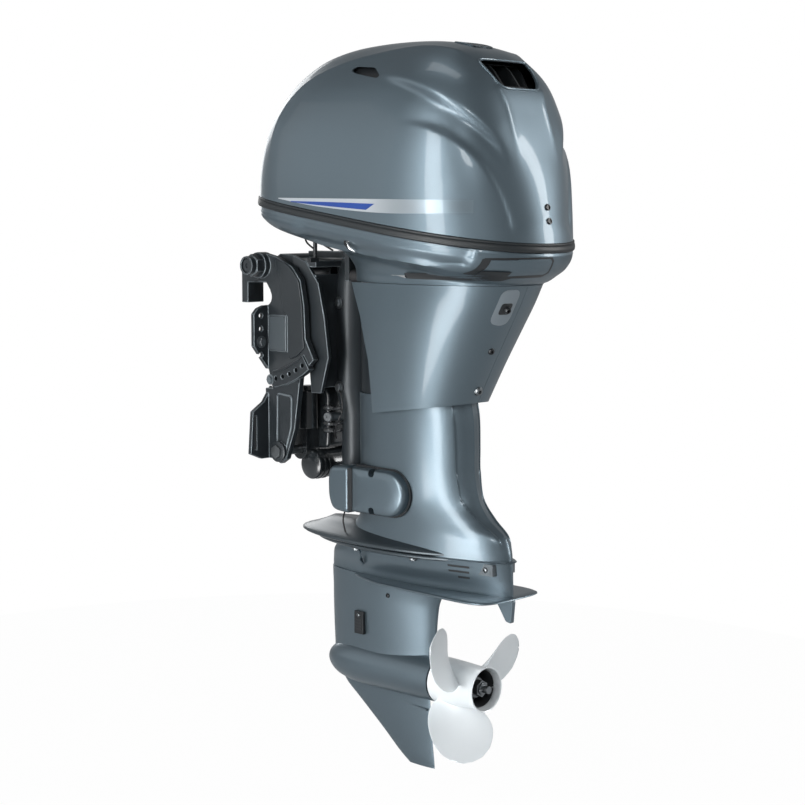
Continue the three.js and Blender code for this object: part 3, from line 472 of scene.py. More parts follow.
shoulder = [(84, -176, 205), (92, -170, 262), (112, -156, 322), (163, -139, 366), (241, -127, 398),
            (320, -114, 415), (398, -96, 424), (452, -84, 418), (500, -66, 398)]
slot_crease = [(340, -141, 374), (427, -143, 350), (485, -132, 322), (536, -109, 286), (562, -87, 252),
               (586, -67, 204)]
side_crease = [(395, -170, 286), (455, -160, 284), (496, -149, 272), (518, -139, 258), (551, -118, 226),
               (575, -101, 182), (590, -89, 140), (600, -80, 92)]
vent_crease = [(527, -58, 352), (546, -50, 313), (568, -50, 256), (590, -52, 190)]


def fade(share, rise=0.15, fall=0.15):
    """0 at both ends of a line and 1 between, along smooth steps."""
    up = np.clip(share / rise, 0, 1)
    down = np.clip((1 - share) / fall, 0, 1)
    return up**2 * (3 - 2 * up) * down**2 * (3 - 2 * down)


lift = np.zeros(cowl_grid.shape[:2])
across, apart, share = crease_offsets(cowl_grid, cowl_normal, shoulder)
lift += 4.5 * np.exp(-apart / 16) * fade(share, 0.25, 0.1)
across, apart, share = crease_offsets(cowl_grid, cowl_normal, slot_crease)
lift += 6.0 * np.tanh(across / 5) * np.exp(-apart / 40) * fade(share, 0.2, 0.3)
across, apart, share = crease_offsets(cowl_grid, cowl_normal, side_crease)
lift -= 6.5 * (across > 0) * np.exp(-apart / 42) * (1 - np.exp(-np.abs(across) / 7)) * fade(share, 0.3, 0.08)
across, apart, share = crease_offsets(cowl_grid, cowl_normal, vent_crease)
lift += 2.5 * np.exp(-apart / 8) * fade(share, 0.1, 0.7)
cowl_grid = cowl_grid + cowl_normal * lift[..., None]

cowl = new_object("top_cowl_moulding", cowl_grid.reshape(-1, 3) * MM,
                  grid_faces(cowl_rows, cowl_columns).tolist() + [])
cap = [(cowl_rows - 1) * cowl_columns + i for i in range(cowl_columns)]
work = bmesh.new()
work.from_mesh(cowl.data)
work.verts.ensure_lookup_table()
work.faces.new([work.verts[i] for i in cap])
bmesh.ops.remove_doubles(work, verts=work.verts, dist=2e-5)
bmesh.ops.recalc_face_normals(work, faces=work.faces)
if sum(f.normal.z * f.calc_area() for f in work.faces) < 0:
    bmesh.ops.reverse_faces(work, faces=work.faces)
work.to_mesh(cowl.data)
work.free()
thick = cowl.modifiers.new("wall", "SOLIDIFY")
thick.thickness, thick.offset = cowl_wall * MM, -1
applied(cowl)

vent_corners = [(-67, 399), (67, 399), (51, 351), (-51, 351)]
vent_outline = rounded(vent_corners, 17)
slot_corners = [(272, 391), (281, 395), (327, 391), (348, 376), (343, 371), (286, 382), (272, 387)]
carve(
    cowl,
    prism("vent_tool", vent_outline * MM, 0, 0.44, 0.66),
    prism("slot_tool_port", rounded(slot_corners, 5) * MM, 1, -0.24, -0.08),
    prism("slot_tool_starboard", rounded(slot_corners, 5) * MM, 1, 0.08, 0.24),
)
shown(cowl, "cowl", cowl_paint, ["top_cowl"], sharp=40)


def tube(name, path, radius, sides=10, closed=False, section=None):
    """A bar along a path. At each point the section, a circle unless one is given, stands
    square to the path; its first axis is the part of +Z, or +X, that is square to it."""
    path = np.asarray(path, float)
    if closed:
        ahead = np.roll(path, -1, 0) - np.roll(path, 1, 0)
    else:
        ahead = np.gradient(path, axis=0)
    ahead /= np.linalg.norm(ahead, axis=1, keepdims=True)
    up = np.where(np.abs(ahead[:, 2:3]) > 0.9, [[1.0, 0, 0]], [[0, 0, 1.0]])
    up = up - (up * ahead).sum(1, keepdims=True) * ahead
    up /= np.linalg.norm(up, axis=1, keepdims=True)
    side = np.cross(ahead, up)
    if section is None:
        t = np.linspace(0, 2 * np.pi, sides, endpoint=False)
        section = np.stack([np.cos(t), np.sin(t)], -1)
    section = np.asarray(section, float) * radius
    points = path[:, None] + section[None, :, :1] * side[:, None] + section[None, :, 1:] * up[:, None]
    rows, columns = points.shape[:2]
    if closed:
        points = np.concatenate([points, points[:1]])
        rows += 1
    faces = grid_faces(rows, columns).tolist()
    made = new_object(name, points.reshape(-1, 3) * MM, faces)
    if not closed:
        work = bmesh.new()
        work.from_mesh(made.data)
        work.verts.ensure_lookup_table()
        for start in (0, (rows - 1) * columns):
            work.faces.new([work.verts[start + i] for i in range(columns)])
        work.to_mesh(made.data)
        work.free()
    return tidy_normals(made, 1e-5)


def level_through(levels, along, z, grow, rounds=40):
    """The level rows through given points, found by halving: along(row) gives x on a level."""
    low, high = np.zeros_like(z), np.ones_like(z)
    rising = levels[-1][3] > levels[0][3]
    for _ in range(rounds):
        mid = (low + high) / 2
        rows = follow(levels, mid) + np.array([0, grow, grow, 0, 0, 0, 0])
        x = along(rows)
        reached = rows[:, 3] + (rows[:, 4] - rows[:, 3]) * (x - rows[:, 0]) / (rows[:, 1] - rows[:, 0])
        short = (reached < z) == rising
        low, high = np.where(short, mid, low), np.where(short, high, mid)
    return rows.T


def level_side(levels, x, z, grow=0.0):
    """The half width at given x and z: y = half |sin|^(2/n) on the level through the point."""
    x, z = np.asarray(x, float), np.asarray(z, float)
    flat_x = x.ravel()
    front, aft, half, _, _, blunt, fine = level_through(levels, lambda rows: flat_x, z.ravel(), grow)
    middle = front + BLUNT_SHARE * (aft - front)
    reach = np.where(flat_x < middle, middle - front, aft - middle)
    power = 2 / np.where(flat_x < middle, blunt, fine)
    c = np.clip(np.abs(flat_x - middle) / reach, 0, 1)**(1 / power)
    return (half * np.sqrt(1 - c**2)**power).reshape(x.shape)


def level_aft(levels, y, z, grow=0.0):
    """The aft face's x at given y and z: x = middle + reach |cos|^(2/n) on its level."""
    y, z = np.asarray(y, float), np.asarray(z, float)
    flat_y = y.ravel()

    def along(rows):
        """x = front + (aft - front) (b + (1 - b) |cos|^(2/n)), with b the blunt share."""
        front, aft, half, _, _, _, fine = rows.T
        s = np.clip(np.abs(flat_y) / half, 0, 1)**(fine / 2)
        return front + (aft - front) * (BLUNT_SHARE + (1 - BLUNT_SHARE) * np.sqrt(1 - s**2)**(2 / fine))

    return along(level_through(levels, along, z.ravel(), grow).T).reshape(y.shape)


# The vent's rolled lip, which frames the opening and catches the light.
lip_outline = rounded(np.array(vent_corners) * [1.03, 1] + [[0, 2], [0, 2], [0, -2], [0, -2]], 19, 9)
lip_y, lip_z = lip_outline.T
lip_path = np.stack([level_aft(cowl_table, lip_y, lip_z) + 0.3, lip_y, lip_z], -1)
lip = tube("vent_lip", lip_path, 2.6, 10, closed=True)
shown(lip, "cowl", cowl_paint)


def sheet_piece(name, points, thickness):
    """A thin closed skin over a grid of points, thickened away from the side its normals face."""
    rows, columns = points.shape[:2]
    made = new_object(name, points.reshape(-1, 3) * MM, grid_faces(rows, columns, wrap=False).tolist())
    wall = made.modifiers.new("wall", "SOLIDIFY")
    wall.thickness, wall.offset = thickness * MM, 1
    return tidy_normals(applied(made), 1e-7)


# Stripe: two plain printed films on each side, a silver one that thins forward and fades aft,
# and a blue one with a slanted end inside it.
silver_film = finish("silver_film", (0.50, 0.54, 0.57), (0.42, 0.46, 0.49), cloud=(9, 0.6), grain=(1500, 0.1),
                     rough=(0.3, 0.05), Metallic=0.6, Coat_Weight=0.4)
blue_film = finish("blue_film", (0.004, 0.040, 0.23), (0.003, 0.03, 0.17), cloud=(9, 0.6), grain=(1500, 0.1),
                   rough=(0.38, 0.05), Coat_Weight=0.2)
fading_film = silver_film.copy()
fading_film.name = "fading_film"
tree = fading_film.node_tree
fade_shader = tree.nodes["Principled BSDF"]
fade_place = tree.nodes.new("ShaderNodeTexCoord")
fade_split = tree.nodes.new("ShaderNodeSeparateXYZ")
fade_range = tree.nodes.new("ShaderNodeMapRange")
fade_range.inputs["From Min"].default_value = 0.36
fade_range.inputs["From Max"].default_value = 0.50
fade_mix = tree.nodes.new("ShaderNodeMix")
fade_mix.data_type = "RGBA"
fade_mix.inputs["B"].default_value = (0.135, 0.175, 0.202, 1)
fade_tone = next(n for n in tree.nodes if n.type == "GROUP")
tree.links.new(fade_place.outputs["Object"], fade_split.inputs[0])
tree.links.new(fade_split.outputs["X"], fade_range.inputs["Value"])
tree.links.new(fade_range.outputs["Result"], fade_mix.inputs["Factor"])
tree.links.new(fade_tone.outputs["Color"], fade_mix.inputs["A"])
tree.links.new(fade_mix.outputs["Result"], fade_shader.inputs["Base Color"])

stripe_top = np.array([(122, 163.5), (240, 162), (400, 160), (554, 158)])
stripe_low = np.array([(122, 162), (240, 147), (400, 136), (554, 136)])
blue_top = np.array([(160, 157.6), (260, 155.5), (376, 152.0)])
blue_low = np.array([(160, 156), (240, 149.5), (356, 141.5)])
for side, sign in (("port", -1), ("starboard", 1)):
    for film, top, low, look, proud in (("silver", stripe_top, stripe_low, fading_film, 0.3),
                                        ("blue", blue_top, blue_low, blue_film, 0.7)):
        along, across = np.meshgrid(np.linspace(0, 1, 60), np.linspace(0, 1, 5), indexing="ij")
        edge_top, edge_low = follow(top, along), follow(low, along)
        spot = edge_low + (edge_top - edge_low) * across[..., None]
        width = level_side(cowl_table, spot[..., 0], spot[..., 1])
        sheet = np.stack([spot[..., 0], sign * (width + proud), spot[..., 1]], -1)
        piece = sheet_piece(f"stripe_{film}_{side}", sheet, 0.25)
        shown(piece, "cowl", look)

# Black plastic for the drain grommets and the cover gaskets. The same black is also painted shade: on the
# sheets behind the side slots, in the grip and latch pockets, the latch recess, the outlet hole, the exhaust
# slots and the cover joints.
grommet_black_and_painted_shade = finish("grommet_black_and_painted_shade", (0.012, 0.014, 0.016), rough=(0.4, 0.1))


def turned_piece(name, profile, centre, axis, sides=32):
    """A closed profile of (radius, height) points turned about an axis, a unit vector, that
    runs through centre. Radii of 0 close it."""
    profile = np.asarray(profile, float)
    axis = np.asarray(axis, float) / np.linalg.norm(axis)
    one = np.cross(axis, (0, 0, 1) if abs(axis[2]) < 0.9 else (1, 0, 0))
    one /= np.linalg.norm(one)
    two = np.cross(axis, one)
    t = np.linspace(0, 2 * np.pi, sides, endpoint=False)
    ring = np.cos(t)[:, None] * one + np.sin(t)[:, None] * two
    points = np.asarray(centre, float) + profile[:, :1, None] * ring[None] + profile[:, 1:, None] * axis
    made = new_object(name, points.reshape(-1, 3) * MM, grid_faces(len(profile), sides).tolist())
    return tidy_normals(made, 1e-6)


# Two small drain grommets on the aft face.
for number, height_z in enumerate((146, 122)):
    face_x = level_aft(cowl_table, [0], [height_z])[0]
    grommet = turned_piece(f"cowl_grommet_{number + 1}",
                           [(0, 0.8), (3.2, 0.8), (3.6, 2.2), (5.2, 2.2), (5.8, 0.8),
                           (5.8, -1.5), (0, -1.5)], (face_x, 0, height_z), (0.97, 0, 0.22), 24)
    shown(grommet, "cowl", grommet_black_and_painted_shade)

# A black sheet stands behind each side slot, a little larger than the slot, so that nothing shows through the
# cowl: painted shade for the cowl's dark inside. It follows the side's curve, set in by its inset.
shade_sheet_inset = 10
shade_sheet_least_y = 12
shade_sheet_x, shade_sheet_z = np.meshgrid(np.linspace(262, 358, 24), np.linspace(360, 401, 12), indexing="ij")
shade_sheet_y = np.maximum(level_side(cowl_table, shade_sheet_x, shade_sheet_z) - shade_sheet_inset, shade_sheet_least_y)
for side, sign in (("port", -1), ("starboard", 1)):
    shade_sheet = sheet_piece(f"slot_shade_sheet_{side}", np.stack([shade_sheet_x, sign * shade_sheet_y, shade_sheet_z], -1), 1.5)
    shown(shade_sheet, "cowl", grommet_black_and_painted_shade)

# ---- Lifting grip ---------------------------------------------------------------------------
# A finger pocket moulded into the ridge above the vent. Its hollow is a black plate laid on the ridge:
# painted shade.
def aft_patch(name, outline, proud, thickness, levels):
    """A thin plate on an aft-facing surface, filling an outline of (y, z) points: rings that
    shrink to the middle are laid on the surface."""
    middle = outline.mean(0)
    shares = np.linspace(1, 0.04, 10)
    spots = middle + (outline - middle)[None] * shares[:, None, None]
    x = level_aft(levels, spots[..., 0], spots[..., 1]) + proud
    points = np.concatenate([x[..., None], spots], -1)
    made = new_object(name, points.reshape(-1, 3) * MM, grid_faces(*points.shape[:2]).tolist())
    work = bmesh.new()
    work.from_mesh(made.data)
    work.verts.ensure_lookup_table()
    last = (len(shares) - 1) * len(outline)
    work.faces.new([work.verts[last + i] for i in range(len(outline))])
    bmesh.ops.recalc_face_normals(work, faces=work.faces)
    if sum(f.normal.x * f.calc_area() for f in work.faces) < 0:
        bmesh.ops.reverse_faces(work, faces=work.faces)
    work.to_mesh(made.data)
    work.free()
    wall = made.modifiers.new("wall", "SOLIDIFY")
    wall.thickness, wall.offset = thickness * MM, -1
    return applied(made)


grip_outline = rounded([(-33, 436.5), (33, 436.5), (27, 427.5), (-27, 427.5)], 6, 8)
grip = aft_patch("lifting_grip", grip_outline, 7, 1.0, cowl_table)
shown(grip, "cowl", grommet_black_and_painted_shade)
grip_rim = np.stack([level_aft(cowl_table, *grip_outline.T) + 4, *grip_outline.T], -1)
shown(tube("lifting_grip_rim", grip_rim, 1.6, 8, closed=True), "cowl", cowl_paint)

# ---- Intake duct ------------------------------------------------------------------------------
# The black tray behind the vent, with two upright ribs.
# The same black is painted shade in the slits of the water inlet grilles.
duct_black_and_painted_shade = finish("duct_black_and_painted_shade", (0.010, 0.012, 0.014), (0.02, 0.022, 0.024), grain=(700, 0.2),
                    rough=(0.5, 0.15), relief=0.2)


def dressed(node, look, edge=0.8, edge_wear_and_highlight=None, sharp=32, segments=2):
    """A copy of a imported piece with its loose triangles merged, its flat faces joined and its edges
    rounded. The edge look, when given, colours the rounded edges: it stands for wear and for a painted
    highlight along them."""
    source = frame["nodes"][node]
    piece = bpy.data.objects.new(node + "_finish", source.data.copy())
    scene.collection.objects.link(piece)
    work = bmesh.new()
    work.from_mesh(piece.data)
    bmesh.ops.remove_doubles(work, verts=work.verts, dist=4e-4 if edge_wear_and_highlight else 2e-5)
    bmesh.ops.dissolve_limit(work, angle_limit=math.radians(0.5), verts=work.verts, edges=work.edges)
    if edge_wear_and_highlight:
        bmesh.ops.triangulate(work, faces=[f for f in work.faces if len(f.verts) > 4])
        bmesh.ops.join_triangles(work, faces=work.faces, angle_face_threshold=0.02, angle_shape_threshold=3.1)
    work.to_mesh(piece.data)
    work.free()
    if edge:
        ease = piece.modifiers.new("eased_edges", "BEVEL")
        ease.width, ease.segments = edge * MM, segments
        ease.limit_method, ease.angle_limit = "ANGLE", math.radians(sharp)
        ease.harden_normals = not edge_wear_and_highlight
        ease.use_clamp_overlap = not edge_wear_and_highlight
        if edge_wear_and_highlight:
            ease.material = 1
    body = next(b for b, members in frame["record"]["behaviour"]["bodies"].items() if node in members)
    return shown(piece, body, [look, edge_wear_and_highlight] if edge_wear_and_highlight else look, [node], sharp)


dressed("intake_duct", duct_black_and_painted_shade, 0.6)

# ---- Cowl seal --------------------------------------------------------------------------------
# An extruded rubber band between the two cowls: a thin lip above a groove and a deep lower bead.
seal_rubber = finish("seal_rubber", (0.010, 0.013, 0.015), (0.014, 0.018, 0.021), grain=(1200, 0.1),
                     rough=(0.46, 0.1), Specular_IOR_Level=0.5)
seam_front, seam_aft = 164, 75
seal_profile = np.array([(-8, 8.2), (1.0, 8.4), (2.2, 7.4), (2.3, 5.0), (1.2, 3.9), (2.8, 2.6), (3.4, -2.5),
                         (2.8, -6.6), (1.6, -8.0), (-8, -8.0)])


def swept_level(level, angles, profile):
    """A profile of (outward, up) points carried round one level, always square to it."""
    ring = level_points(np.array([level], float), angles)[0]
    ahead = np.roll(ring, -1, 0) - np.roll(ring, 1, 0)
    out = np.stack([ahead[:, 1], -ahead[:, 0]], -1)
    out /= np.linalg.norm(out, axis=1, keepdims=True)
    points = np.repeat(ring[:, None], len(profile), 1)
    points[..., :2] += out[:, None] * profile[None, :, :1]
    points[..., 2] += profile[None, :, 1]
    return points


seal_ring = swept_level((-5, 618, 190, seam_front, seam_aft, 4, 2.3), even_angles(361)[:-1], seal_profile)
seal_ring = np.concatenate([seal_ring, seal_ring[:1]])
seal = new_object("cowl_seal_band", seal_ring.reshape(-1, 3) * MM, grid_faces(*seal_ring.shape[:2]).tolist())
tidy_normals(seal, 1e-5)
shown(seal, "motor", seal_rubber, ["cowl_seal"], sharp=50)

# ---- Bottom cowl ------------------------------------------------------------------------------
# The pan that carries the seal: a full bulge under the seam, undercut by a swept line and
# turned in to a skirt above the aprons. Same moulding and paint as the cover.
bottom_table = np.array([
    (-4, 617, 189, 155.2, 66.2, 4, 2.3),
    (-3, 617.5, 189.5, 146, 60, 4, 2.3),
    (4, 613, 188, 132, 47, 4, 2.3),
    (28, 604, 176, 113, 33, 3.7, 2.3),
    (92, 589, 150, 92, 22, 3.2, 2.4),
    (148, 576, 126, 76, 14, 2.8, 2.6),
    (180, 568, 115, 44, 11.5, 2.6, 2.6),
    (186, 566, 113, 10.6, 10.6, 2.6, 2.6),
])
bottom_rows, bottom_columns = 70, 300
bottom_grid = level_points(follow(bottom_table, np.linspace(0, 1, bottom_rows)),
                           even_angles(bottom_columns + 1)[:-1])
bottom_normal = -grid_normals(bottom_grid)
bulge_line = [(150, -150, 92), (216, -156, 77), (300, -162, 66), (390, -166, 54), (461, -160, 40),
              (505, -138, 22), (525, -122, 12)]
across, apart, share = crease_offsets(bottom_grid, bottom_normal, bulge_line)
below = np.clip(across, 0, None)
dip = -9 * (1 - np.exp(-below / 9)) * np.exp(-below / 110) * fade(share, 0.12, 0.12)
dip += 2.5 * np.exp(-apart / 10) * fade(share, 0.2, 0.2)
foot = np.clip((bottom_grid[..., 2] - 33) / 14, 0, 1)
bottom_grid = bottom_grid + bottom_normal * (dip * foot)[..., None]
bottom = new_object("bottom_cowl_moulding", bottom_grid.reshape(-1, 3) * MM,
                    grid_faces(bottom_rows, bottom_columns)[:, ::-1].tolist())
thick = bottom.modifiers.new("wall", "SOLIDIFY")
thick.thickness, thick.offset = 3.5 * MM, -1
applied(bottom)
carve(bottom, prism("yoke_door_tool", rounded([(120, -78), (240, -78), (240, 78), (120, 78)], 6) * MM, 2,
                    -0.01, 0.07))
shown(bottom, "motor", cowl_paint, ["bottom_cowl"], sharp=40)


# ---- Rear latch -------------------------------------------------------------------------------
# A flush lever on the port quarter; its left end is a stepped finger pocket. Black sheets under the lever and
# in the pocket are painted shade for the recess and the pocket.
def latch_sheet(y_from, y_to, low_at, high_at, grow, columns=40, rows=12):
    """A patch of the aft quarter between two y values; low and high edges are (share, z) lines."""
    along = np.linspace(0, 1, columns)
    low, high = np.interp(along, *zip(*low_at)), np.interp(along, *zip(*high_at))
    z = low[:, None] + (high - low)[:, None] * np.linspace(0, 1, rows)[None]
    y = np.repeat((y_from + (y_to - y_from) * along)[:, None], rows, 1)
    x = level_aft(bottom_table, y, z, grow)
    return np.stack([x, y, z], -1)


recess_low = [(0, 24), (0.03, 20), (0.38, 19), (0.46, 24), (0.93, 25), (1, 32)]
recess_high = [(0, 58), (0.02, 60), (0.95, 60.5), (1, 54)]
recess = sheet_piece("latch_recess", latch_sheet(-120, 10, recess_low, recess_high, 0.4), 0.4)
shown(recess, "motor", grommet_black_and_painted_shade)
lever_low = [(0, 30), (0.02, 29), (0.38, 28), (0.46, 29), (0.95, 30), (1, 35)]
lever_high = [(0, 56), (0.34, 56), (0.36, 57), (0.96, 57), (1, 52)]
lever = sheet_piece("rear_latch_lever_moulding", latch_sheet(-110, 4, lever_low, lever_high, 1.4), 2.6)
shown(lever, "cowl_lever", cowl_paint, ["rear_latch_lever"])
pocket = sheet_piece("latch_finger_pocket",
                     latch_sheet(-112, -74, [(0, 30), (1, 27)], [(0, 37), (1, 35)], 4.1),
                     0.6)
shown(pocket, "cowl_lever", grommet_black_and_painted_shade)

# ---- Front latch hook -------------------------------------------------------------------------
# The steel claw that pulls the cover's front edge down, in its black slotted mouth.
hook_black = finish("latch_black", (0.016, 0.018, 0.02), rough=(0.35, 0.1), Metallic=0.3)
dressed("front_latch_hook", hook_black, 1.0)
mouth = turned_piece("latch_mouth", [(0, 1.5), (9, 1.5), (12, 3), (14, 1.5), (14, -2), (0, -2)],
                     (296, -168, 80), (0.12, -0.75, -0.65), 28)
shown(mouth, "motor", hook_black)
claw = tube("latch_claw", [(298, -174, 92), (297, -178, 84), (299, -175, 74), (306, -168, 68)], 2.6)
shown(claw, "motor", finish("claw_steel", (0.55, 0.57, 0.58), rough=(0.25, 0.1), Metallic=1.0))

# ---- Aprons -----------------------------------------------------------------------------------
# Two painted mouldings that close the leg under the pan, split down the middle aft.
apron_paint = finish(
    "apron_metallic_paint", (0.108, 0.145, 0.170), (0.092, 0.125, 0.148), cloud=(3, 0.5), grain=(1500, 0.3),
    rough=(0.40, 0.06), Metallic=0.8, Coat_Weight=0.45, Coat_Roughness=0.08,
)
apron_table = np.array([
    (160, 566, 112.5, 9.7, 9.7, 3, 2.6),
    (160, 549, 109, -26, -26, 3, 2.55),
    (160, 524, 104, -70, -70, 3, 2.5),
    (160, 485, 93, -139, -139, 3, 2.5),
    (160, 450, 78, -245, -205, 3, 2.6),
])
apron_rows, apron_columns = 60, 110
apron_levels = follow(apron_table, np.linspace(0, 1, apron_rows))
front_edge = np.array([(12, 226), (-51, 250), (-133, 262), (-260, 258)])


def apron_half(grow, side):
    """One apron's grid: each level from the swept front edge round to the centre line aft."""
    rows = []
    for level in apron_levels:
        front, aft, half, z_front, z_aft, blunt, fine = level
        start_x = np.interp(-(z_front * 0.75 + z_aft * 0.25), -front_edge[:, 0], front_edge[:, 1])
        middle = front + BLUNT_SHARE * (aft - front)
        c = (abs(start_x - middle) / (middle - front))**(blunt / 2)
        start = math.pi - math.acos(min(c, 0.999)) if start_x < middle else math.acos(c)
        angles = start * (1 - np.linspace(0, 1, apron_columns)**0.8)
        rows.append(level_points(np.array([level + (grow, -grow, -grow, 0, 0, 0, 0)]), angles)[0])
    grid = np.array(rows)
    grid[:, -1, 1] = 0.3
    grid[..., 1] *= side
    return grid


for side, sign in (("port", -1), ("starboard", 1)):
    outer = apron_half(0, sign)
    piece = new_object(f"apron_{side}_moulding", outer.reshape(-1, 3) * MM,
                       grid_faces(apron_rows, apron_columns, wrap=False).tolist())
    tidy_normals(piece)
    middle_face = piece.data.polygons[len(piece.data.polygons) // 2]
    if middle_face.normal.y * sign < 0:
        piece.data.flip_normals()
    wall = piece.modifiers.new("wall", "SOLIDIFY")
    wall.thickness, wall.offset = 3.5 * MM, -1
    applied(piece)
    shown(piece, "motor", apron_paint, [f"apron_{side}"], sharp=40)


# Tell-tale pad: a light rounded pad on the port apron with the cooling water outlet in it.
pad_paint = finish("pad_grey", (0.19, 0.225, 0.25), rough=(0.5, 0.1), Metallic=0.2)
pad_outline = rounded([(-52, 3), (-14, 3), (-14, -56), (-30, -62), (-52, -56)], 14, 8)


pad = aft_patch("water_outlet_pad", pad_outline, 0.8, 2.0, apron_table)
shown(pad, "motor", pad_paint)
# The outlet's hole is a black patch on the pad: painted shade for the opening.
hole = aft_patch("water_outlet_hole", rounded([(-44, -21), (-22, -21), (-22, -41), (-44, -41)], 5), 1.1, 1.0,
                 apron_table)
shown(hole, "motor", grommet_black_and_painted_shade)
nozzle = turned_piece("water_outlet_nozzle", [(0, 3), (3.2, 3), (3.2, 7), (5, 7), (6, 5), (6, -2), (0, -2)],
                      (level_aft(apron_table, [-31], [-32])[0] + 0.5, -31, -32), (0.88, -0.1, -0.4), 24)
shown(nozzle, "motor", hook_black)

# ---- Screws and bolts ---------------------------------------------------------------------------
# Zinc-plated hexagon bolts with washers, and black panhead screws in the mouldings.
bolt_steel = finish("bolt_steel", (0.20, 0.215, 0.225), (0.13, 0.14, 0.15), cloud=(60, 0.7),
                    grain=(1500, 0.2),
                    rough=(0.32, 0.15), Metallic=0.9)


def bolt(name, centre, axis, across, body, look=None, washer=1.45):
    """A hexagon head with a chamfered top on a round washer, standing on centre along axis."""
    profile = [(0, -1), (washer * across, -1), (washer * across, 1.2), (0.95 * across, 1.4)]
    base = turned_piece(name + "_washer", profile + [(0, 1.4)], centre, axis, 28)
    head = turned_piece(name + "_head", [(0, 1.2), (across, 1.2), (across, 0.62 * across),
                        (0.86 * across, 0.8 * across), (0, 0.8 * across)], centre, axis, 6)
    for piece in (base, head):
        shown(piece, body, look or bolt_steel)


def screw(name, centre, axis, radius, body, look=None):
    """A domed head with a cross-shaped hollow left as a darker centre ring."""
    profile = [(0, 0.2 * radius), (0.3 * radius, 0.2 * radius), (0.42 * radius, 0.62 * radius),
               (0.75 * radius, 0.5 * radius), (radius, 0.1 * radius), (radius, -0.4 * radius),
               (0, -0.4 * radius)]
    piece = turned_piece(name, profile, centre, axis, 24)
    shown(piece, body, look or hook_black)


apron_screw_x = level_aft(apron_table, [-22, -12], [-108, -182])
screw("apron_screw_upper", (apron_screw_x[0], -22, -108), (0.9, -0.25, -0.35), 6.5, "motor")
screw("apron_screw_lower", (apron_screw_x[1], -12, -182), (0.9, -0.2, -0.35), 9, "motor", bolt_steel)

# ---- Upper casing -------------------------------------------------------------------------------
# The leg: cast aluminium in the same metallic paint, with a flat facet down its aft edge that
# stands back from the sides, and a wide lip above the splash plate.
casing_paint = finish(
    "casing_metallic_paint", (0.118, 0.156, 0.182), (0.100, 0.134, 0.158), cloud=(4, 0.6), grain=(1300, 0.3),
    rough=(0.38, 0.08), relief=0.03, Metallic=0.82, Coat_Weight=0.35, Coat_Roughness=0.12,
)
casing_table = np.array([
    (172, 436, 66, -200, -200, 2.6, 2.1),
    (172, 443, 66, -240, -240, 2.6, 2.1),
    (172, 445, 65, -290, -290, 2.6, 2.1),
    (172, 446, 64, -335, -335, 2.6, 2.1),
    (171, 458, 62, -385, -385, 2.6, 2.0),
    (170, 484, 60, -418, -418, 2.5, 2.2),
    (158, 518, 60, -443, -443, 2.4, 2.0),
    (128, 527, 60, -468, -468, 2.3, 1.95),
    (112, 530, 60, -484.7, -484.7, 2.3, 1.9),
])
casing_rows, casing_columns = 110, 220
casing_angles = even_angles(casing_columns + 1, 2.6, 2.1)[:-1]
casing_grid = level_points(follow(casing_table, np.linspace(0, 1, casing_rows)), casing_angles)
facet_half = np.interp(casing_grid[..., 2], [-470, -440, -380, -330, -200], [12, 16, 31, 34, 36])
inside = np.clip((facet_half - np.abs(casing_grid[..., 1])) / 3.0, 0, 1) * (casing_grid[..., 0] > 330)
ridge = np.exp(-np.abs(casing_grid[..., 1]) / 7)
casing_grid[..., 0] += inside * (-5.5 + 3.5 * ridge) * np.clip((casing_grid[..., 2] + 462) / 22, 0, 1)
casing = new_object("upper_casing_casting", casing_grid.reshape(-1, 3) * MM,
                    grid_faces(casing_rows, casing_columns)[:, ::-1].tolist())
thick = casing.modifiers.new("wall", "SOLIDIFY")
thick.thickness, thick.offset = 4.5 * MM, -1
applied(casing)
shown(casing, "motor", casing_paint, ["upper_casing"], sharp=35)

# The splash plates: a deep pointed wing under the leg and a thinner one below the joint. Both are in a darker
# copy of the casing paint: painted shade for the plates.
painted_shade_splash_paint = finish(
    "splash_plate_painted_shade_paint", (0.050, 0.064, 0.074), (0.040, 0.052, 0.061), cloud=(4, 0.6), grain=(1300, 0.3),
    rough=(0.34, 0.08), relief=0.03, Metallic=0.6, Coat_Weight=0.2, Coat_Roughness=0.15,
)
splash_angles = even_angles(241, 1.8, 2.2)[:-1]


def wing(name, nose, tail, half, heights, insets, look):
    """A closed disc of superellipse rings, one per pair of height and inset."""
    table = np.array([(nose + 1.6 * i, tail - 2.2 * i, half - i, z, z, 1.75, 1.9) for z,
                      i in zip(heights, insets)])
    rings = level_points(table, splash_angles)
    made = new_object(name, rings.reshape(-1, 3) * MM, grid_faces(*rings.shape[:2]).tolist())
    work = bmesh.new()
    work.from_mesh(made.data)
    work.verts.ensure_lookup_table()
    columns = rings.shape[1]
    for start in (0, (rings.shape[0] - 1) * columns):
        work.faces.new([work.verts[start + i] for i in range(columns)])
    work.to_mesh(made.data)
    work.free()
    tidy_normals(made)
    return shown(made, "motor", look, sharp=40)


wing("splash_plate_upper", -5, 476, 84, [-484.5, -484.2, -482.2, -479.5, -476.5, -472, -466, -459, -450],
     [9, 3, 0.4, 0.3, 2.5, 10, 24, 38, 52], painted_shade_splash_paint)
wing("splash_plate_lower", 38, 474, 79, [-493.6, -493.2, -491.6, -489.2, -487, -485.6, -485.2],
     [7, 2.6, 0.5, 0, 0.8, 3, 8], painted_shade_splash_paint)
wing("joint_lip", 96, 540, 60, [-487.5, -487.3, -485.9, -484.6, -484.2], [5, 0.8, 0, 0.8, 6], casing_paint)

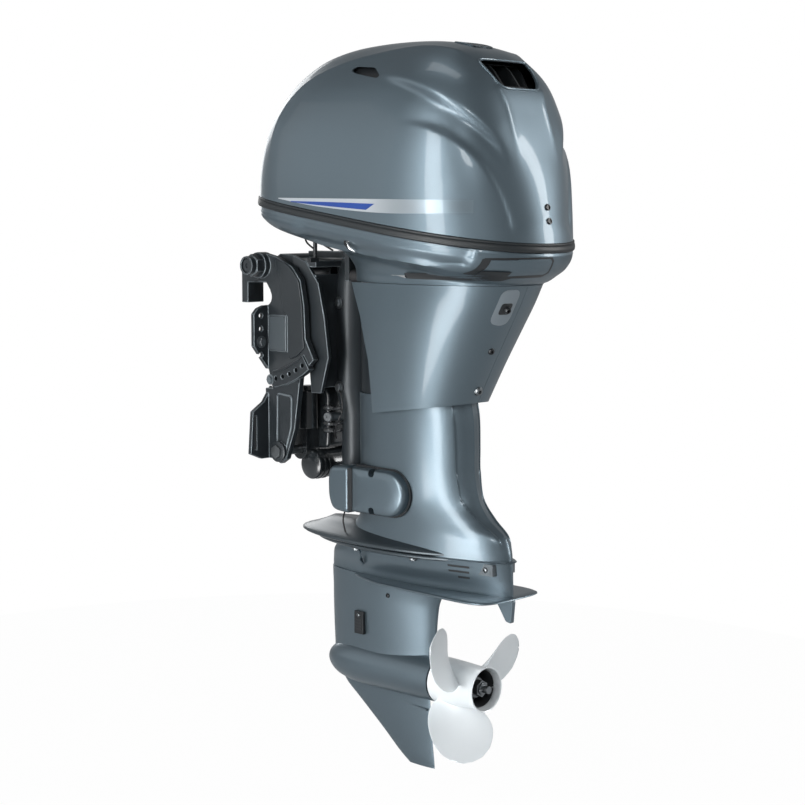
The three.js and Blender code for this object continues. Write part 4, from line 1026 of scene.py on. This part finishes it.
# ---- Lower mount covers -------------------------------------------------------------------------
# D-shaped caps over the lower rubber mounts, domed, with two open-ended bolt slots.
cover_low, cover_high, cover_front, cover_turn = -422, -337, 206, 297
cover_half = (cover_high - cover_low) / 2
cover_mid = (cover_high + cover_low) / 2
turn_angles = np.linspace(-np.pi / 2, np.pi / 2, 25)
cover_outline = np.concatenate([
    [(cover_front, cover_high), (cover_front, cover_low)],
    np.stack([cover_turn + (cover_half + 2) * np.cos(turn_angles),
              cover_mid + cover_half * np.sin(turn_angles)], -1),
])
cover_outline = np.concatenate([
    np.stack([np.linspace(cover_front, cover_front, 12), np.linspace(cover_high, cover_low, 12)], -1)[:-1],
    np.stack([np.linspace(cover_front, cover_turn, 14), np.full(14, cover_low)], -1)[:-1],
    cover_outline[2:-1],
    np.stack([np.linspace(cover_turn, cover_front, 14), np.full(14, cover_high)], -1)[:-1],
])
cover_rise = [(1.0, 50), (1.0, 74), (0.985, 78.5), (0.95, 81.5), (0.88, 83.5), (0.6, 85), (0.3, 85.6),
              (0.03, 85.8)]
for side, sign in (("port", -1), ("starboard", 1)):
    centre = np.array([265.0, cover_mid])
    rings = []
    for scale, depth in cover_rise:
        flat = centre + (cover_outline - centre) * scale
        rings.append(np.stack([flat[:, 0], np.full(len(flat), sign * depth), flat[:, 1]], -1))
    rings = np.array(rings)
    cover = new_object(f"lower_mount_cover_{side}_casting", rings.reshape(-1, 3) * MM,
                       grid_faces(*rings.shape[:2]).tolist())
    work = bmesh.new()
    work.from_mesh(cover.data)
    work.verts.ensure_lookup_table()
    for start in (0, (len(rings) - 1) * rings.shape[1]):
        work.faces.new([work.verts[start + i] for i in range(rings.shape[1])])
    work.to_mesh(cover.data)
    work.free()
    tidy_normals(cover)
    tools = []
    for edge_z, deep_z in ((cover_high + 6, cover_high - 14), (cover_low - 6, cover_low + 14)):
        slot_outline = rounded([(254, edge_z), (268, edge_z), (268, deep_z), (254, deep_z)], 6)
        span = sorted((sign * 0.06, sign * 0.11))
        tools.append(prism("slot_tool", slot_outline * MM, 1, *span))
    carve(cover, *tools)
    shown(cover, "motor", casing_paint, [f"lower_mount_cover_{side}"], sharp=35)
    for height_z in (cover_high - 8, cover_low + 8):
        bolt(f"cover_bolt_{side}_{'upper' if height_z > cover_mid else 'lower'}", (261, sign * 66, height_z),
             (0, sign, 0), 5.5, "motor", hook_black)
    # A black block fills the gap between the mount housing and the cover: painted shade for the gap.
    joint = prism(f"cover_joint_{side}", rounded([(196, -340), (208.5, -340), (208.5, -421), (196, -421)],
                                                 3) * MM, 1,
                  *sorted((sign * 0.046, sign * 0.0822)))
    shown(joint, "motor", grommet_black_and_painted_shade)
    gasket = prism(f"cover_gasket_{side}", (centre + (cover_outline - centre) * [1.045, 1.07]) * MM, 1,
                   *sorted((sign * 0.05, sign * 0.0655)))
    shown(gasket, "motor", grommet_black_and_painted_shade)

# ---- Lower casing -------------------------------------------------------------------------------
# The gearcase, one aluminium casting: a strut under the joint, the anti-ventilation plate, a
# lens-shaped leg, the round bullet for the gears and the skeg that guards the propeller.
strut_table = np.array([
    (108, 532, 58, -484.9, -484.9, 2.3, 1.9),
    (96, 533, 54, -500, -500, 2.2, 1.85),
    (84, 534, 50, -515, -515, 2.2, 1.8),
    (79, 536, 42, -535, -535, 2.1, 1.75),
    (78, 536, 40, -549, -549, 2.1, 1.7),
])
leg_table = np.array([
    (78, 400, 40, -549, -549, 2.1, 1.8),
    (78, 374, 38, -560, -560, 2.1, 1.8),
    (79, 358, 36, -585, -585, 2.1, 1.8),
    (79, 352, 34.5, -612, -612, 2.1, 1.8),
    (80, 348, 32, -660, -660, 2.1, 1.8),
    (82, 346, 31, -700, -700, 2.1, 1.8),
    (84, 346, 36, -722, -722, 2.1, 1.8),
    (90, 346, 40, -734, -734, 2.1, 1.8),
])
skeg_table = np.array([
    (92, 330, 30, -742, -742, 2.1, 1.8),
    (98, 331, 15, -757, -757, 2.0, 1.7),
    (112, 334, 8.5, -778, -778, 2.0, 1.6),
    (152, 337, 6.5, -808, -808, 2.0, 1.6),
    (210, 340, 5.5, -852, -852, 2.0, 1.6),
    (252, 344, 4.8, -886, -886, 2.0, 1.6),
    (281, 346, 3.0, -906, -906, 2.0, 1.6),
])


def capped_loft(name, grid):
    """Closed rings joined into one skin, with a flat face over the first ring and the last."""
    rows, columns = grid.shape[:2]
    made = new_object(name, grid.reshape(-1, 3) * MM, grid_faces(rows, columns).tolist())
    work = bmesh.new()
    work.from_mesh(made.data)
    work.verts.ensure_lookup_table()
    for start in (0, (rows - 1) * columns):
        work.faces.new([work.verts[start + i] for i in range(columns)])
    work.to_mesh(made.data)
    work.free()
    return tidy_normals(made)


leg_angles = even_angles(181, 2.1, 1.8)[:-1]
for name, table, rows in (("strut", strut_table, 40), ("leg", leg_table, 60), ("skeg", skeg_table, 44)):
    piece = capped_loft(f"gearcase_{name}", level_points(follow(table, np.linspace(0, 1, rows)), leg_angles))
    shown(piece, "motor", casing_paint, ["lower_casing"] if name == "leg" else (), sharp=40)

bullet_profile = follow([(0.01, 0), (14, 5), (26, 19), (36, 42), (42, 76), (44, 110), (44, 180), (44, 245),
                         (43, 292)], np.linspace(0, 1, 50))
bullet = turned_piece("gearcase_bullet", [*bullet_profile.tolist(), (32, 292), (32, 290), (0, 290)],
                      (70, 0, -730),
                      (1, 0, 0), 72)
shown(bullet, "motor", casing_paint, sharp=40)

plate_port = rounded([(150, 0), (168, 42), (262, 76), (500, 87), (540, 74), (545, 0), (540, -74), (500, -87),
                      (262, -76), (168, -42)], 30, 9)
plate_rings = []
for inset, height_z in ((7, -549.2), (2, -549.4), (0.2, -550.8), (0.0, -552.4), (1.2, -554), (6, -555.2)):
    ring = plate_port * (1 - inset / 90) + np.array([320, 0]) * inset / 90
    plate_rings.append(np.concatenate([ring, np.full((len(ring), 1), height_z)], 1))
plate = capped_loft("anti_ventilation_plate", np.array(plate_rings))
shown(plate, "motor", casing_paint, sharp=50)

# Exhaust relief slots, bolts and the cast rib on the strut.
for side, sign in (("port", -1), ("starboard", 1)):
    # The slots are thin black sheets on the strut: painted shade for the openings.
    for number, (x0, x1, z0) in enumerate(((420, 465, -499.5), (420, 463, -509.5), (438, 462, -520))):
        xs, zs = np.meshgrid(np.linspace(x0, x1, 16), np.linspace(z0 - 1.9, z0 + 1.9, 4), indexing="ij")
        ys = sign * (level_side(strut_table, xs, zs) + 0.4)
        slit = sheet_piece(f"exhaust_slot_{side}_{number + 1}", np.stack([xs, ys, zs], -1), 0.5)
        shown(slit, "motor", grommet_black_and_painted_shade)
    bolt(f"joint_bolt_{side}", (349, sign * 62, -494.5), (0, 0, -1), 6, "motor", bolt_steel)
    bolt(f"joint_bolt_front_{side}", (200, sign * 62, -494.5), (0, 0, -1), 6, "motor", bolt_steel)
    rib_path = [(205, sign * 62, -492), (202, sign * 55, -504), (200, sign * 50, -518),
                (199, sign * 44, -528)]
    shown(tube(f"joint_rib_{side}", rib_path, 3.2, 10), "motor", casing_paint)
    low_side = level_side(leg_table, [256, 114], [-582, -713])
    screw(f"water_plug_{side}", (256, sign * (low_side[0] - 0.5), -582), (0, sign, 0), 5, "motor")
    screw(f"oil_drain_{side}", (122, sign * (low_side[1] - 1.5), -708), (-0.35, sign, 0), 7, "motor",
          bolt_steel)
    fin_x = np.linspace(226, 330, 24)
    fin_path = np.stack([fin_x, np.full(24, sign * 4.5), np.linspace(-788, -795, 24)], -1)
    shown(tube(f"skeg_rib_{side}", fin_path, 2.0, 8), "motor", casing_paint)

# ---- Trim tab and anodes ------------------------------------------------------------------------
# Bare zinc castings that corrode in place of the leg, and the painted tab behind the plate.
zinc = finish("zinc_anode", (0.135, 0.155, 0.168), (0.09, 0.105, 0.115), cloud=(40, 0.8), grain=(500, 0.3),
              rough=(0.55, 0.2), relief=0.25, Metallic=0.5)
dressed("anode_port", zinc, 1.2)
dressed("anode_starboard", zinc, 1.2)
tab_outline = rounded([(496, -555.2), (539, -555.2), (537, -575), (535, -597), (523, -595)], 3)
def beveled(piece, width, segments=2):
    """The piece with its sharp edges rounded."""
    ease = piece.modifiers.new("eased_edges", "BEVEL")
    ease.width, ease.segments = width * MM, segments
    ease.limit_method, ease.angle_limit = "ANGLE", math.radians(32)
    return piece


tab = prism("trim_tab_blade", tab_outline * MM, 1, -0.0045, 0.0045)
shown(beveled(tab, 2.0, 3), "motor", casing_paint, ["trim_tab"])
for side, sign in (("port", -1), ("starboard", 1)):
    low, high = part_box(f"anode_{side}")
    face = (low[1] if sign < 0 else high[1]) / MM
    middle = [(low[i] + high[i]) / 2 / MM for i in (0, 2)]
    screw(f"anode_screw_{side}", (middle[0], face, middle[1]), (0, sign, 0), 5.5, "motor", bolt_steel)

# ---- Water inlet covers -------------------------------------------------------------------------
# Screwed-on plastic grilles over the cooling water intakes.
dressed("water_inlet_port", hook_black, 0.8)
dressed("water_inlet_starboard", hook_black, 0.8)
for side, sign in (("port", -1), ("starboard", 1)):
    low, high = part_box(f"water_inlet_{side}")
    face = (low[1] if sign < 0 else high[1]) / MM + sign * 0.05
    # The grille's slits are thin dark bars on its face: painted shade for the openings.
    for number, height_z in enumerate(np.linspace(-658, -640, 4)):
        outline = rounded([(173, height_z - 1.4), (190, height_z - 1.4), (190, height_z + 1.4),
                           (173, height_z + 1.4)], 1.3)
        slit = prism(f"inlet_slit_{side}_{number + 1}", outline * MM, 1,
                     *sorted((face * MM, (face + sign * 0.5) * MM)))
        shown(slit, "motor", duct_black_and_painted_shade)
    screw(f"inlet_screw_{side}", (182, face, -630), (0, sign, 0), 4, "motor", bolt_steel)

# ---- Propeller ----------------------------------------------------------------------------------
# Cast aluminium in pale silver paint: three cupped blades on a flared through-hub exhaust barrel,
# with a bonded rubber bush, spokes, a washer and a castle nut inside.
silver_paint = finish(
    "propeller_silver", (0.80, 0.84, 0.86), (0.71, 0.75, 0.77), cloud=(12, 0.5), grain=(1600, 0.12),
    rough=(0.30, 0.08), Metallic=0.2, Coat_Weight=0.3, Coat_Roughness=0.1,
)
prop_radius, prop_pitch, prop_z = 143, 330, -730
blade_table = np.array([(0.25, 66, 9.5), (0.4, 102, 8), (0.55, 126, 6.5), (0.7, 134, 5.5), (0.85, 120, 4.4),
                        (0.94, 88, 3.4), (0.985, 44, 2.6), (1.0, 6, 1.6)])


def blade_points(turn, rows=46, columns=56):
    """A blade: at each radius an oval section of its chord and thickness, laid on a helix of the
    propeller's pitch; the leading edge sweeps back by 0.12 of the share of the radius."""
    share = np.interp(np.linspace(0, 1, rows)**0.8, np.linspace(0, 1, rows), np.linspace(0.25, 1, rows))
    smooth = follow(blade_table, np.interp(share, blade_table[:, 0], np.linspace(0, 1, len(blade_table))))
    chord, thick = smooth[:, 1][:, None], smooth[:, 2][:, None]
    r = (share * prop_radius)[:, None]
    t = np.linspace(0, 2 * np.pi, columns, endpoint=False)[None]
    s, n = chord / 2 * np.cos(t), thick / 2 * np.sin(t)
    n = n + 2.4 * (s / (chord / 2 + 1e-9))**2
    slope = np.arctan(prop_pitch / (2 * np.pi * r))
    angle = turn + (s * np.cos(slope) + n * np.sin(slope)) / r - 0.12 * share[:, None]
    x = 412 + 0.24 * (r - 44) - s * np.sin(slope) + n * np.cos(slope)
    return np.stack([x, r * np.sin(angle), prop_z + r * np.cos(angle)], -1)


hub_loop = [(43, 366), (42.6, 390), (41, 430), (39.4, 455), (40.4, 466), (42.4, 474), (41.4, 475.2),
            (39.6, 474.4),
            (37, 464), (34.5, 452), (34, 366), (43, 366)]
barrel = turned_piece("propeller_barrel", hub_loop, (0, 0, prop_z), (1, 0, 0), 72)
shown(barrel, "prop_train", silver_paint, ["propeller"], sharp=40)
# The liner, inner hub and spokes inside the barrel are near black: soot, and painted shade for the barrel's
# dark inside.
soot_and_painted_shade = finish("exhaust_soot_and_painted_shade", (0.030, 0.033, 0.036), (0.012, 0.012, 0.013), cloud=(60, 0.9), grain=(700, 0.3),
              rough=(0.6, 0.15), relief=0.2, Metallic=0.2)
liner = turned_piece("propeller_barrel_liner",
                     [(33.9, 368), (33.9, 462), (33.2, 462), (33.2, 368), (33.9, 368)],
                     (0, 0, prop_z), (1, 0, 0), 60)
shown(liner, "prop_train", soot_and_painted_shade)
inner = turned_piece("propeller_inner_hub", [(25, 372), (25, 441), (21.2, 441), (21.2, 372), (25, 372)],
                     (0, 0, prop_z), (1, 0, 0), 40)
shown(inner, "prop_train", soot_and_painted_shade)
for number in range(3):
    turn = -0.76 + number * 2 * math.pi / 3
    blade = capped_loft(f"propeller_blade_{number + 1}", blade_points(turn))
    shown(blade, "prop_train", silver_paint, sharp=60)
    out = np.array([0, math.sin(turn + 0.5), math.cos(turn + 0.5)])
    spoke = tube(f"propeller_spoke_{number + 1}",
                 [np.array([404, 0, prop_z]) + out * r for r in (22, 28, 36)], 1,
                 section=[(-4, -20), (4, -20), (4, 20), (-4, 20)])
    shown(spoke, "prop_train", soot_and_painted_shade)

machined = finish("machined_steel", (0.45, 0.46, 0.47), (0.32, 0.33, 0.34), cloud=(30, 0.6),
                  grain=(1400, 0.2),
                  rough=(0.3, 0.12), Metallic=1.0)
rubber = finish("mount_rubber", (0.012, 0.012, 0.013), (0.02, 0.02, 0.02), grain=(900, 0.2), rough=(0.6, 0.1),
                relief=0.2)
dressed("propeller_nut", bolt_steel, 0.8)
dressed("thrust_washer", machined, 0.6)
dressed("propeller_bush", rubber, 0.6)
dressed("propeller_shaft", bolt_steel, 0.5)
cotter = tube("cotter_pin", [(470, -16, prop_z), (470, 16, prop_z), (476, 18, prop_z + 2),
                             (478, 16, prop_z + 8)], 1.4)
shown(cotter, "prop_train", machined)

# ---- Clamp brackets -----------------------------------------------------------------------------
# Two handed aluminium castings in satin black that hook over the transom. They carry the bolt
# flanges, the tilt pin holes along an arc, a smooth pad and a ribbed arm down to the pivot.
casting_black = finish(
    "casting_black", (0.020, 0.025, 0.029), (0.034, 0.041, 0.046), cloud=(14, 0.7), grain=(900, 0.35),
    rough=(0.34, 0.14), relief=0.12, Metallic=0.3, Specular_IOR_Level=0.6,
)
# The lighter edge colour is partly wear and partly a painted highlight where the castings' edges catch the
# light.
casting_wear_and_highlight = finish(
    "casting_worn_and_highlit_edge", (0.15, 0.175, 0.19), (0.06, 0.07, 0.078), cloud=(60, 1.0), grain=(900, 0.3),
    rough=(0.36, 0.14), Metallic=0.5,
)
casting_pad = finish("casting_pad", (0.060, 0.073, 0.082), (0.045, 0.056, 0.064), cloud=(20, 0.6),
                     grain=(900, 0.3), rough=(0.5, 0.1), relief=0.1, Metallic=0.3)


bracket_face = 110
throat_x, throat_z, throat_radius = 3, -24, 17
raised_outline = rounded([(33, 49), (60, 42), (77, 31), (97, 9), (106, -38), (109, -98), (112, -118),
                          (92, -134),
                          (68, -142), (66, -57), (50, -53), (51, -30), (44, -12), (46, 8), (36, 30)], 6)
arm_outline = rounded([(36, -208), (76, -212), (74, -272), (56, -322), (34, -322)], 8)
arc_turn = np.radians(np.linspace(-80, -56, 30))
for side, sign in (("port", -1), ("starboard", 1)):
    bracket = dressed(f"clamp_bracket_{side}", casting_black, 1.2, casting_wear_and_highlight)
    # The round throat that clears the transom's edge, bored through the casting.
    throat = np.radians(np.arange(0, 360, 10))
    throat_outline = np.stack([throat_x + throat_radius * np.cos(throat),
                               throat_z + throat_radius * np.sin(throat)], -1)
    carve(bracket, prism(f"throat_tool_{side}", throat_outline * MM, 1, *sorted((sign * 0.06, sign * 0.20))))
    face = sign * bracket_face
    raised = prism(f"bracket_raised_{side}", raised_outline * MM, 1,
                   *sorted(((face - sign) * MM, (face + sign * 2.4) * MM)))
    shown(beveled(raised, 1.2), "transom_bracket", casting_black)
    pad_plate = prism(f"bracket_pad_{side}", rounded([(17, -125), (61, -125), (61, -61), (17, -61)], 3) * MM,
                      1,
                      *sorted(((face + sign * 2) * MM, (face + sign * 5.0) * MM)))
    shown(beveled(pad_plate, 0.8), "transom_bracket", casting_pad)
    arc = np.stack([-8 + 206 * np.cos(arc_turn), np.full(30, face + sign * 5.0),
                    36 + 206 * np.sin(arc_turn)], -1)
    shown(tube(f"bracket_arc_rib_{side}", arc, 2.2, 10), "transom_bracket", casting_black)
    # The arm's raised border is a tube in the lighter edge colour: a painted highlight along it.
    border = np.concatenate([arm_outline, arm_outline[:1]])
    border_path = np.stack([border[:, 0], np.full(len(border), face + sign * 0.6), border[:, 1]], -1)
    shown(tube(f"bracket_arm_border_{side}", border_path[:-1], 2.4, 10, closed=True), "transom_bracket",
          casting_wear_and_highlight)
    washer = turned_piece(f"pivot_washer_{side}", [(0, -1), (20, -1), (20, 2.5), (17, 4), (0, 4)],
                          (42, sign * 116, -320), (0, sign, 0), 36)
    shown(washer, "transom_bracket", casting_black)
    bolt(f"arc_bolt_{side}", (17, sign * 112, -183), (0, sign, 0), 7, "transom_bracket", casting_wear_and_highlight)
    bolt(f"transom_bolt_{side}", (9, sign * 128, -110), (1, 0, 0), 8, "transom_bracket", bolt_steel)

# ---- Tilt tube and pivots -----------------------------------------------------------------------
# The hardened tube the motor tilts on, held by big nuts, and the lower shaft of the tilt unit.
dressed("tilt_tube", machined, 0.5)
for side, sign in (("port", -1), ("starboard", 1)):
    dressed(f"tilt_tube_nut_{side}", casting_black, 1.0, casting_wear_and_highlight)
    cap = turned_piece(f"tilt_tube_cap_{side}",
                       [(0, 0), (13, 0), (14.5, 2), (14.5, 6), (12, 8), (5, 8), (4, 6), (0, 6)],
                       (-8, sign * 139.5, 36), (0, sign, 0), 32)
    shown(cap, "transom_bracket", casting_black)
dressed("lower_cross_shaft", bolt_steel, 0.8)

# ---- Swivel bracket -----------------------------------------------------------------------------
# The black casting that tilts: two cheeks, a web, and the long tube the pivot shaft turns in.
dressed("swivel_bracket", casting_black, 1.2, casting_wear_and_highlight)
gloss_black = finish("gloss_black_enamel", (0.014, 0.017, 0.019), (0.022, 0.026, 0.03), cloud=(12, 0.6),
                     rough=(0.22, 0.1), Coat_Weight=0.5, Coat_Roughness=0.1)
fairing_black = finish("fairing_black", (0.020, 0.025, 0.029), (0.030, 0.036, 0.041), cloud=(9, 0.7),
                       grain=(900, 0.3), rough=(0.38, 0.08), relief=0.04, Metallic=0.3)
fairing_table = np.array([
    (112, 166, 27, 49, 49, 2, 2),
    (106, 167.5, 31, 30, 30, 2, 2),
    (100, 168, 37, 0, 0, 2, 2),
    (98, 168, 38, -60, -60, 2, 2),
    (98, 168, 38, -150, -150, 2, 2),
    (101, 168, 36.5, -205, -205, 2, 2),
    (108, 167, 30, -240, -240, 2, 2),
    (110, 166.2, 28.4, -262, -262, 2, 2),
    (110, 166.2, 28.4, -372, -372, 2, 2),
    (111, 165.2, 27.4, -385, -385, 2, 2),
])
fairing_grid = level_points(follow(fairing_table, np.linspace(0, 1, 70)), np.linspace(0, 2 * np.pi, 73)[:-1])
fairing = capped_loft("swivel_fairing", fairing_grid)
core = turned_piece("core_tool", [(0, -520), (21.9, -520), (21.9, 80), (0, 80)], (138, 0, 0), (0, 0, 1), 40)
carve(fairing, core)
shown(fairing, "swivel", fairing_black)
for name, height_z in (("upper", -34), ("lower", -195)):
    bolt(f"swivel_bolt_{name}", (130, -37.5, height_z), (-0.12, -1, 0), 8, "swivel", bolt_steel)
for number, (height_z, start_x) in enumerate(((-238, 88), (-268, 88), (-281, 88))):
    profile = [(0, 0), (3.6, 0), (3.6, 8), (5.2, 8), (5.2, 13), (3.4, 14), (3.4, 24), (0, 24)]
    fitting = turned_piece(f"pipe_fitting_{number + 1}", profile, (start_x, -36, height_z), (1, 0, 0), 20)
    shown(fitting, "swivel", machined)
    pipe = tube(f"pipe_{number + 1}", [(start_x + 22, -36, height_z), (118, -36, height_z),
                                       (126, -32, height_z + 2),
                                      (130, -22, height_z + 6)], 3)
    shown(pipe, "swivel", hook_black)
plug = turned_piece("fill_plug", [(0, 2.4), (2, 2.4), (2.4, 4), (8, 4), (9.5, 2.5), (9.5, -2), (0, -2)],
                    (106, -44, -254), (0.2, -1, 0), 28)
shown(plug, "swivel", bolt_steel)
boss = tube("fill_plug_boss", [(106, -42, -254), (111, -30, -254), (120, -20, -254)], 8.5, 20)
shown(boss, "swivel", casting_black)
lead_black = finish("lead_black", (0.010, 0.010, 0.011), (0.018, 0.018, 0.02), grain=(700, 0.2),
                    rough=(0.45, 0.1))
ground = follow([(132, -41, -198), (142, -43, -214), (142, -42, -240), (130, -42, -262), (118, -38, -282),
                 (112, -28, -296)], np.linspace(0, 1, 40))
shown(tube("swivel_ground_lead", ground, 1.5, 10), "swivel", lead_black)

# ---- Steering yokes -------------------------------------------------------------------------------
# The upper yoke with its steering arm in black, and the lower yoke, painted as the leg is.
dressed("steering_bracket", casting_black, 1.2, casting_wear_and_highlight)
dressed("lower_yoke", casing_paint, 2.0)
for side, sign in (("port", -1), ("starboard", 1)):
    outline = rounded([(146, -340), (200, -336), (200, -428), (152, -424), (141, -400), (140, -362)], 14, 7)
    housing = prism(f"lower_mount_housing_{side}", outline * MM, 1, *sorted((sign * 0.044, sign * 0.0815)))
    shown(beveled(housing, 9, 5), "motor", casing_paint)
loop = follow([(40, -14, 64), (30, -26, 78), (36, -34, 88), (56, -32, 86), (78, -26, 74), (96, -20, 64)],
              np.linspace(0, 1, 40))
shown(tube("steering_ground_lead", loop, 1.8, 10), "motor", lead_black)
splash_lead = follow([(150, -30, -421), (152, -44, -430), (158, -56, -446), (166, -60, -462),
                      (172, -60, -474)],
                     np.linspace(0, 1, 30))
shown(tube("yoke_ground_lead", splash_lead, 1.5, 10), "motor", lead_black)

# ---- Power tilt unit ------------------------------------------------------------------------------
# A black cylinder and pump with a chromed ram, a motor can and a fluid tank, on the lower shaft.
chrome = finish("chromed_ram", (0.60, 0.61, 0.62), (0.52, 0.53, 0.54), cloud=(20, 0.5), rough=(0.16, 0.05),
                Metallic=1.0)
for node in ("tilt_cylinder", "tilt_motor", "fluid_reservoir"):
    dressed(node, gloss_black, 1.6)
body_outline = rounded([(26, -318), (88, -318), (90, -290), (90, -214), (80, -200), (34, -200)], 10)
pump_body = prism("tilt_pump_body", body_outline * MM, 1, -0.028, 0.058)
shown(beveled(pump_body, 5, 4), "tilt_unit", gloss_black)
for side, sign in (("port", -1), ("starboard", 1)):
    dome = turned_piece(f"pump_dome_{side}",
                        [(0, -1), (28.4, -1), (28.4, 1), (27, 3.4), (22, 5.8), (13, 7.4), (0, 8)],
                        (62, sign * 46, -350), (0, sign, 0), 40)
    shown(dome, "tilt_unit", gloss_black)
    for number, reach in enumerate((12, 24)):
        band = turned_piece(f"pump_band_{side}_{number + 1}",
                            [(26, -2), (29.2, -2), (29.2, 2), (26, 2), (26, -2)],
                            (62, sign * (46 - reach), -350), (0, sign, 0), 40)
        shown(band, "tilt_unit", gloss_black)
dressed("tilt_ram", chrome, 0.8)
dressed("tilt_support_lever", bolt_steel, 0.8)

# ---- Mounts and inner casings ---------------------------------------------------------------------
# Rubber mounts between the yokes and the leg, the exhaust guide and oil pan under the engine.
bare_alloy = finish("cast_alloy", (0.36, 0.37, 0.375), (0.26, 0.27, 0.275), cloud=(25, 0.8), grain=(500, 0.4),
                    rough=(0.5, 0.15), relief=0.3, Metallic=0.85)
for node in ("upper_mount_port", "upper_mount_starboard", "lower_mount_port", "lower_mount_starboard"):
    dressed(node, rubber, 0.8)
dressed("oil_pan", casting_black, 3.0)
for node in ("exhaust_guide", "water_pump_housing", "bearing_carrier"):
    dressed(node, bare_alloy, 0.8)

# ---- Engine ---------------------------------------------------------------------------------------
# The powerhead inside the cowl: cast block and head, painted cover, steel crank and flywheel,
# with the plastic manifold, the starter and the oil filter at its sides.
for node in ("cylinder_block", "cylinder_head"):
    dressed(node, bare_alloy, 1.2)
dressed("head_cover", casing_paint, 3.0)
for node in ("crankshaft", "flywheel"):
    dressed(node, machined, 0.8)
dressed("intake_manifold", duct_black_and_painted_shade, 2.0)
dressed("starter_motor", gloss_black, 1.2)
dressed("oil_filter", gloss_black, 1.2)

# ---- Drive train ----------------------------------------------------------------------------------
# Shafts, bevel gears, dog clutch and shift rod of machined steel, and the rubber pump impeller.
bronze = finish("bronze", (0.43, 0.27, 0.09), (0.34, 0.20, 0.06), cloud=(30, 0.6), rough=(0.35, 0.1),
                Metallic=1.0)
for node in ("drive_shaft", "pinion", "forward_gear", "reverse_gear", "dog_clutch", "shift_rod"):
    dressed(node, machined, 0.4)
dressed("pump_impeller", rubber, 0.5)
dressed("forward_gear_bearing", bronze, 0.4)
